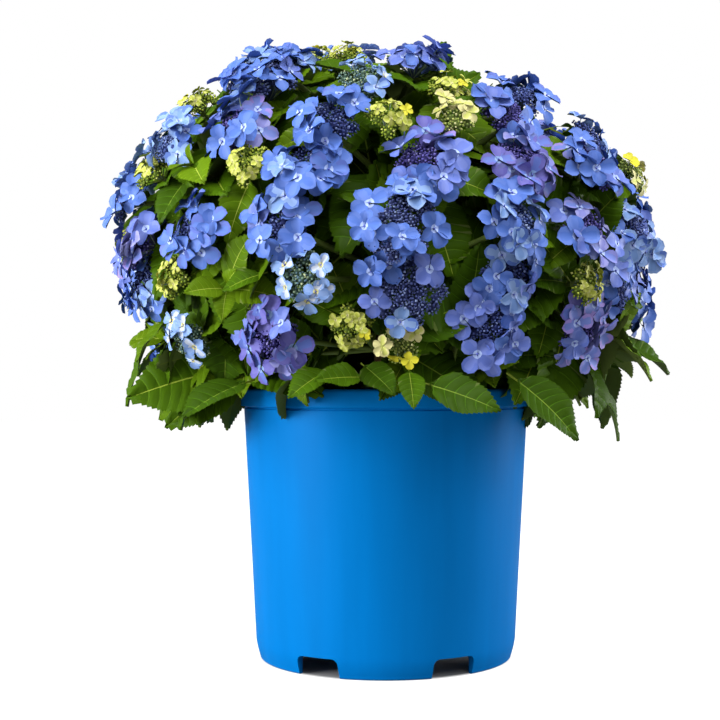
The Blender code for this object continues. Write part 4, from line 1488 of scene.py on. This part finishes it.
def soil_surface():
    """The mix as a closed form with a settled, uneven top."""
    bm = bmesh.new()
    dice = random.Random(SEED)
    floor = SOIL_BOX[0].z
    bearings = [step * 360.0 / SOIL_STEPS for step in range(SOIL_STEPS)]
    rings = []
    for ring in range(1, SOIL_RINGS + 1):
        reach = SOIL_RADIUS * ring / SOIL_RINGS
        line = []
        for step, bearing in enumerate(bearings):
            wave = 1.0 + math.sin(reach * 130.0 + step * 0.4)
            drop = dice.uniform(0.0, SOIL_ROUGH) + SOIL_SWELL * wave
            line.append(bm.verts.new(polar(bearing, reach, SOIL_TOP - drop)))
        rings.append(line)
    lower = [bm.verts.new(polar(bearing, SOIL_FOOT_RADIUS, floor)) for bearing in bearings]
    rings.append(lower)
    middle = bm.verts.new((0.0, 0.0, SOIL_TOP - 0.001))
    bottom = bm.verts.new((0.0, 0.0, floor))
    for step in range(SOIL_STEPS):
        after = (step + 1) % SOIL_STEPS
        bm.faces.new((middle, rings[0][step], rings[0][after]))
        bm.faces.new((bottom, lower[after], lower[step]))
        for inner, outer in zip(rings, rings[1:]):
            bm.faces.new((inner[step], outer[step], outer[after], inner[after]))
    bmesh.ops.recalc_face_normals(bm, faces=bm.faces)
    mesh = bpy.data.meshes.new("soil_surface")
    bm.to_mesh(mesh)
    bm.free()
    return mesh


# Operators


class HYDRANGEA_OT_pot(bpy.types.Operator):
    """Turn the pot, cut its six drainage notches and finish it in satin plastic"""

    bl_idname = "hydrangea.pot"
    bl_label = "Pot"

    def execute(self, context):
        settings = context.scene.hydrangea_pot
        item = turned_object("pot_turned", pot_profile(settings.foot_round), POT_STEPS)
        blocks = [notch_block(number) for number in range(NOTCH_COUNT)]
        for block in blocks:
            cut = item.modifiers.new(block.name, "BOOLEAN")
            cut.operation = "DIFFERENCE"
            cut.solver = "EXACT"
            cut.object = block
        mesh = shade_by_angle(applied(item), 34.0)
        for used in (item, *blocks):
            bpy.data.objects.remove(used)
        mesh.materials.clear()
        mesh.materials.append(moulded_polypropylene(settings.colour))
        finish_piece("nursery_pot", mesh, ["pot"])
        return {"FINISHED"}


class HYDRANGEA_OT_soil(bpy.types.Operator):
    """Fill the pot with crumbly potting mix"""

    bl_idname = "hydrangea.soil"
    bl_label = "Potting mix"

    def execute(self, context):
        tree = crumb_tree("potting_mix", composted_bark())
        density = context.scene.hydrangea_pot.crumbs * 100.0
        mesh = made_by("potting_mix", soil_surface(), tree, {"Density": density, "Size": CRUMB_SIZE})
        finish_piece("potting_mix", mesh, ["soil"])
        return {"FINISHED"}


class HYDRANGEA_OT_canes(bpy.types.Operator):
    """Grow the woody canes and boughs with the relief of their bark"""

    bl_idname = "hydrangea.canes"
    bl_label = "Canes and boughs"

    def execute(self, context):
        canes = cane_limbs()
        limbs = [cane[0] for cane in canes] + bough_limbs(crown_of(context), canes)
        relief = context.scene.hydrangea_crown.bark_relief
        mesh = limbs_mesh("canes_and_boughs", limbs, {(0, 0): cane_bark()}, 14, relief)
        finish_piece("canes_and_boughs", mesh, cad_nodes("cane_", "bough_"))
        return {"FINISHED"}


class HYDRANGEA_OT_shoots(bpy.types.Operator):
    """Grow this year's shoots from the boughs' tips"""

    bl_idname = "hydrangea.shoots"
    bl_label = "Shoots"

    def execute(self, context):
        finishes = {
            (0, 0): plain_finish("ripening_shoot", "#5A4A2A", 0.6, 0.2),
            (1, 0): plain_finish("green_shoot", "#4E5F24", 0.55, 0.2),
        }
        mesh = limbs_mesh("shoots", crown_of(context).limbs, finishes, 6, 0.0002, 0.006)
        finish_piece("shoots", mesh, cad_nodes("mass_"))
        return {"FINISHED"}


class HYDRANGEA_OT_leaves(bpy.types.Operator):
    """Set out the toothed, quilted leaves, layer by layer"""

    bl_idname = "hydrangea.leaves"
    bl_label = "Leaves"

    def execute(self, context):
        dice = random.Random(SEED)
        meshes = []
        for number in range(len(LEAF_DROOPS) * DROOP_FORMS):
            droop = LEAF_DROOPS[number // DROOP_FORMS]
            fold = dice.uniform(0.10, 0.34)
            wave = dice.uniform(0.05, 0.16)
            phase = dice.random()
            shape = (droop, fold, wave, phase)
            meshes += [leaf_form(f"leaf_{number}_{veins}", *shape, veins) for veins in LEAF_VEINS]
        places = {layer: [] for layer in LAYERS}
        for layer, leaves in crown_of(context).leaves.items():
            for leaf in leaves:
                nearest = min(range(len(LEAF_DROOPS)), key=lambda i: abs(LEAF_DROOPS[i] - leaf.droop))
                size = (leaf.length, leaf.length * dice.uniform(0.92, 1.12), leaf.length)
                form = nearest * DROOP_FORMS + dice.randrange(DROOP_FORMS)
                form = form * len(LEAF_VEINS) + (leaf.length < SMALL_LEAF)
                turn = turned_to(leaf.direction, leaf.upper)
                places[layer].append((leaf.root, turn, size, form, leaf.tone))
        set_out_layers("leaves", places, form_collection("leaf_forms", meshes), leaf_finishes())
        return {"FINISHED"}


def head_frame(shoot):
    """Two directions across a flower head."""
    side = shoot.look.orthogonal().normalized()
    return side, shoot.look.cross(side)


def head_places(shoot, bud_size):
    """Places of a head's buds, dark cores of painted shade and stalks."""
    dice = shoot.fine
    side, other = head_frame(shoot)
    letter = list(HEAD_BUDS).index(shoot.ending)
    count = max(7, round((shoot.radius / CLUMP_PITCH) ** 2 * 3.0))
    places = []
    for number in range(count):
        share = math.sqrt((number + 0.5) / count)
        turn = number * GOLDEN_TURN + dice.uniform(-0.25, 0.25)
        around = side * math.cos(turn) + other * math.sin(turn)
        reach = shoot.radius * 0.90 * share
        rise = shoot.radius * DISC_RISE * math.sqrt(1.0 - (share * 0.94) ** 2) - CLUMP_RADIUS * 0.7
        middle = shoot.end + around * reach + shoot.look * (rise + dice.uniform(-CLUMP_STRAY, CLUMP_STRAY))
        axis = (shoot.look + around * (share * 0.9)).normalized()
        places += clump_places(middle, axis, letter, bud_size, dice)
        line = middle - shoot.hub
        size = (line.length, STALK_RADIUS, STALK_RADIUS)
        places.append((shoot.hub, turned_to(line.normalized(), side), size, STALK, letter * BUD_SHADES))
    return places


def clump_places(middle, axis, letter, bud_size, dice):
    """Buds over a small dome about a dark core, which is painted shade in the gaps between them."""
    side = axis.orthogonal().normalized()
    other = axis.cross(side)
    heart = CLUMP_RADIUS * CLUMP_SHADE_SIZE
    places = [(middle, turned_to(side, axis), (heart, heart, heart * 0.8), SHADE_HEART, letter * BUD_SHADES)]
    first = dice.uniform(0.0, 6.28)  # radians
    for number in range(CLUMP_BUDS):
        rise = 1.0 - 1.05 * (number + 0.5) / CLUMP_BUDS
        turn = first + number * GOLDEN_TURN
        across = math.sqrt(1.0 - rise * rise)
        way = axis * rise + side * (across * math.cos(turn)) + other * (across * math.sin(turn))
        shade = dice.choices(range(BUD_SHADES), BUD_CHANCES)[0]
        size = bud_size * dice.uniform(*BUD_GROWTH)
        place = middle + way * (CLUMP_RADIUS * dice.uniform(0.92, 1.12))
        turned = turned_to(way.orthogonal().normalized(), way)
        places.append((place, turned, (size,) * 3, BUD, letter * BUD_SHADES + shade))
    return places


@functools.cache
def flower_places(shoot, bud_size):
    """Places of a head's buds, dark cores of painted shade and stalks, and of its florets, none of which a
    bud pierces.
    """
    buds = head_places(shoot, bud_size)
    florets = floret_places(shoot)
    return [place for place in buds if not pierces(place, florets)], florets


def pierces(place, florets):
    """Whether this bud or dark core of painted shade would come through a floret."""
    if place[3] == STALK:
        return False
    above = OVER_SEPALS[place[3]]
    for middle, turn, size, form, _ in florets:
        if form < len(FLORET_SHAPES):
            away = place[0] - middle
            face = turn @ UP
            up = away.dot(face)
            if -UNDER_SEPALS < up < above and (away - face * up).length < size[0] * SEPAL_REACH:
                return True
    return False


def blossom_places(context, kind):
    """For each layer, the places of its heads' buds (0) or of their florets (1)."""
    places = {layer: [] for layer in LAYERS}
    for shoot in crown_of(context).shoots:
        if shoot.headed:
            places[shoot.layer] += flower_places(shoot, context.scene.hydrangea_crown.bud_size)[kind]
    return places


class HYDRANGEA_OT_heads(bpy.types.Operator):
    """Set out the domed heads of fertile buds on their stalks"""

    bl_idname = "hydrangea.heads"
    bl_label = "Flower heads"

    def execute(self, context):
        bead = bead_form("bud", 4, BUD, -0.8, 1.2)
        # the dark core of painted shade inside each cluster
        heart = bead_form("clump_painted_shade", 7, SHADE_HEART, -1.0, 0.9)
        forms = form_collection("head_forms", [bead, heart, ray_form("stalk", STALK)])
        set_out_layers("flower_heads", blossom_places(context, 0), forms, head_finishes())
        return {"FINISHED"}


def floret_places(shoot):
    """Places of the showy florets round a head, and of their stalks."""
    dice = shoot.dice
    fine = shoot.fine
    tones = list(FLORET_TONES)
    choice = HEAD_FLORETS[shoot.ending]
    main = fine.choice(choice)
    side, _ = head_frame(shoot)
    mini = shoot.ending == "g"
    count = MINI_COUNT if mini else shoot.florets
    size = MINI_FLORET if mini else shoot.floret_size
    first = dice.uniform(0.0, 360.0)
    places = []
    low, span, left = THIRD_RING
    high = min(1.0, max(0.0, (shoot.end.z - low) / span))
    sunny = min(1.0, max(0.0, left - shoot.end.x / CROWN_SIDE)) * high
    opening = shoot.ending == "o"
    missing = OPENING_LOSS if opening else INNER_LOSS
    for number in range(count * 3):
        if number >= count * 2 and (mini or opening or fine.random() > sunny):
            continue
        extra = number >= count
        draw = fine if extra or mini else dice
        turn = first + 360.0 * (number % count + (0.5 if extra else 0.0)) / count
        turn += draw.uniform(-FLORET_STRAY, FLORET_STRAY)
        tilt = math.radians(draw.uniform(*FLORET_TILT))
        bare = (0.5 + 0.5 * math.cos(math.radians(turn - first))) ** 2
        if draw.random() < FLORET_LOSS * bare or (extra and fine.random() < missing):
            continue
        outward = Matrix.Rotation(math.radians(turn), 3, shoot.look) @ side
        look = shoot.look * math.cos(tilt) + outward * math.sin(tilt)
        away = outward * math.cos(tilt) - shoot.look * math.sin(tilt)
        root = FLORET_ROOT - (INNER_ROOT if extra else 0.0) - fine.uniform(0.0, ROOT_STRAY)
        inner = shoot.end + outward * (shoot.radius * root)
        reach = min(1.0, root + size * 0.16 / shoot.radius)
        rise = shoot.radius * DISC_RISE * math.sqrt(1.0 - reach**2)
        rise += FLORET_RISE + fine.uniform(0.0, FLORET_LIFT) + RING_RISE * (number // count)
        middle = inner + away * (size / 2.0) + shoot.look * rise
        stray = Vector([fine.uniform(-FLORET_FACING, FLORET_FACING) for _ in range(3)])
        facing = (look + stray).normalized()
        spin = Matrix.Rotation(fine.uniform(0.0, 1.57), 3, facing) @ facing.orthogonal().normalized()
        tone = tones.index(main if fine.random() < MAIN_TONE else fine.choice(choice))
        scale = size * fine.uniform(*FLORET_GROWTH)
        form = fine.randrange(len(FLORET_SHAPES))
        places.append((middle, turned_to(spin, facing), (scale,) * 3, form, tone))
        line = middle - shoot.hub
        thin = (line.length, FLORET_STALK_RADIUS, FLORET_STALK_RADIUS)
        places.append((shoot.hub, turned_to(line.normalized(), side), thin, len(FLORET_SHAPES), tone))
    return places


class HYDRANGEA_OT_florets(bpy.types.Operator):
    """Set out the ring of showy florets round each flower head"""

    bl_idname = "hydrangea.florets"
    bl_label = "Showy florets"

    def execute(self, context):
        forms = [floret_form(f"floret_{i}", i + 1, *shape) for i, shape in enumerate(FLORET_SHAPES)]
        forms = form_collection("floret_forms", [*forms, ray_form("floret_stalk", 5)])
        set_out_layers("florets", blossom_places(context, 1), forms, floret_finishes())
        return {"FINISHED"}


# Soft square lights: name, bearing, height, distance, size, share of the key power, colour
LAMPS = (
    ("key", -82.0, 0.60, 1.5, 0.9, 0.48, "#FFFDF8"),
    ("low", -60.0, 0.32, 1.5, 0.6, 0.62, "#FFFFFF"),
    ("overhead", -20.0, 2.15, 0.95, 1.2, 0.50, "#FFFFFF"),
    ("side", 36.0, 2.12, 0.9, 1.2, 1.12, "#FFFFFF"),
    ("fill", 16.0, 1.15, 1.35, 0.9, 0.20, "#FFFFFF"),
    ("right", 106.0, 0.50, 1.5, 0.8, 0.62, "#FFFFFF"),
)
LENS = 68.75  # millimetres, on a sensor 36 mm wide
LENS_SHIFT = (-0.0357, 0.0264)


def soft_light(name, bearing, height, distance, size, share, colour, power):
    """A square soft light that looks at the middle of the shrub."""
    data = bpy.data.lights.new(name, "AREA")
    data.size = size
    data.energy = power * share
    data.color = linear(colour)
    lamp = bpy.data.objects.new(name, data)
    bpy.context.scene.collection.objects.link(lamp)
    lamp.location = polar(bearing, distance, height)
    lamp.rotation_euler = (lamp.location - Vector((0.0, 0.0, 0.25))).to_track_quat("Z", "Y").to_euler()
    return lamp


def studio_floor():
    """Pale seamless paper, exposed to plain white in view, which still bounces only the light it gets."""
    floor = plain_finish("pale_studio_floor", "#8E8E8E", 0.9, 0.1)
    tree = floor.node_tree
    shader = tree.nodes["Principled BSDF"]
    seen = add_node(tree, "ShaderNodeLightPath").outputs["Is Camera Ray"]
    place = add_node(tree, "ShaderNodeTexCoord").outputs["Object"]
    reach = add_node(tree, "ShaderNodeVectorMath", {0: place}, operation="LENGTH").outputs["Value"]
    band = {"Value": reach, "From Min": POT_FOOT_RADIUS - 0.008, "From Max": POT_FOOT_RADIUS}
    clear = add_node(tree, "ShaderNodeMapRange", band)
    glow = add_node(tree, "ShaderNodeMath", {0: seen, 1: clear.outputs[0]}, operation="MULTIPLY")
    shader.inputs["Emission Color"].default_value = (1.0, 1.0, 1.0, 1.0)
    tree.links.new(glow.outputs[0], shader.inputs["Emission Strength"])
    return floor


def studio_world(ambient):
    """A white surround in view, that lights the shrub only as strongly as the ambient share."""
    world = bpy.data.worlds.new("studio")
    world.use_nodes = True
    tree = world.node_tree
    shade = tree.nodes["Background"]
    shade.inputs["Color"].default_value = (1.0, 1.0, 1.0, 1.0)
    seen = add_node(tree, "ShaderNodeLightPath").outputs["Is Camera Ray"]
    levels = {0: seen, 1: 1.0 - ambient, 2: ambient}
    level = add_node(tree, "ShaderNodeMath", levels, operation="MULTIPLY_ADD")
    tree.links.new(level.outputs[0], shade.inputs["Strength"])
    return world


class HYDRANGEA_OT_stage(bpy.types.Operator):
    """Lay the pale floor, light the shrub softly and stand the camera before it"""

    bl_idname = "hydrangea.stage"
    bl_label = "Floor, light and camera"

    def execute(self, context):
        settings = context.scene.hydrangea_stage
        bpy.ops.mesh.primitive_plane_add(size=12.0)
        floor = context.object
        floor.name = "floor"
        floor.data.materials.append(studio_floor())
        lamps = [soft_light(*lamp, settings.key_power) for lamp in LAMPS]
        context.scene.world = studio_world(settings.ambient)
        context.scene.view_settings.view_transform = "Standard"
        data = bpy.data.cameras.new("camera")
        data.sensor_width = 36.0
        data.lens = LENS
        data.shift_x, data.shift_y = LENS_SHIFT
        camera = bpy.data.objects.new("camera", data)
        context.scene.collection.objects.link(camera)
        camera.location = (0.0, -settings.camera_distance, settings.camera_height)
        camera.rotation_euler = (math.radians(90.0), 0.0, 0.0)
        context.scene.camera = camera
        return {"FINISHED"}


class HYDRANGEA_PT_panel(bpy.types.Panel):
    """Sizes, colours and pieces of the potted hydrangea"""

    bl_idname = "HYDRANGEA_PT_panel"
    bl_label = "Potted Hydrangea"
    bl_space_type = "VIEW_3D"
    bl_region_type = "UI"
    bl_category = "Hydrangea"

    def draw(self, context):
        for group in SETTINGS:
            settings = getattr(context.scene, group)
            box = self.layout.box()
            for name in settings.__annotations__:
                box.prop(settings, name)
        for step in STEPS:
            self.layout.operator(step.bl_idname)


SETTINGS = {
    "hydrangea_pot": HydrangeaPotSettings,
    "hydrangea_crown": HydrangeaCrownSettings,
    "hydrangea_stage": HydrangeaStageSettings,
}
STEPS = (
    HYDRANGEA_OT_pot,
    HYDRANGEA_OT_soil,
    HYDRANGEA_OT_canes,
    HYDRANGEA_OT_shoots,
    HYDRANGEA_OT_leaves,
    HYDRANGEA_OT_heads,
    HYDRANGEA_OT_florets,
    HYDRANGEA_OT_stage,
)


def register():
    """Add the classes and hang the settings on the scene."""
    for item in (*SETTINGS.values(), *STEPS, HYDRANGEA_PT_panel):
        bpy.utils.register_class(item)
    for name, group in SETTINGS.items():
        setattr(bpy.types.Scene, name, bpy.props.PointerProperty(type=group))


def unregister():
    """Take the settings and classes away again."""
    for name in SETTINGS:
        delattr(bpy.types.Scene, name)
    for item in reversed((*SETTINGS.values(), *STEPS, HYDRANGEA_PT_panel)):
        bpy.utils.unregister_class(item)


def main():
    """Dress the shrub piece by piece."""
    register()
    for step in STEPS:
        _, name = step.bl_idname.split(".")
        getattr(bpy.ops.hydrangea, name)()
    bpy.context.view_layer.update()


if __name__ == "__main__":
    main()
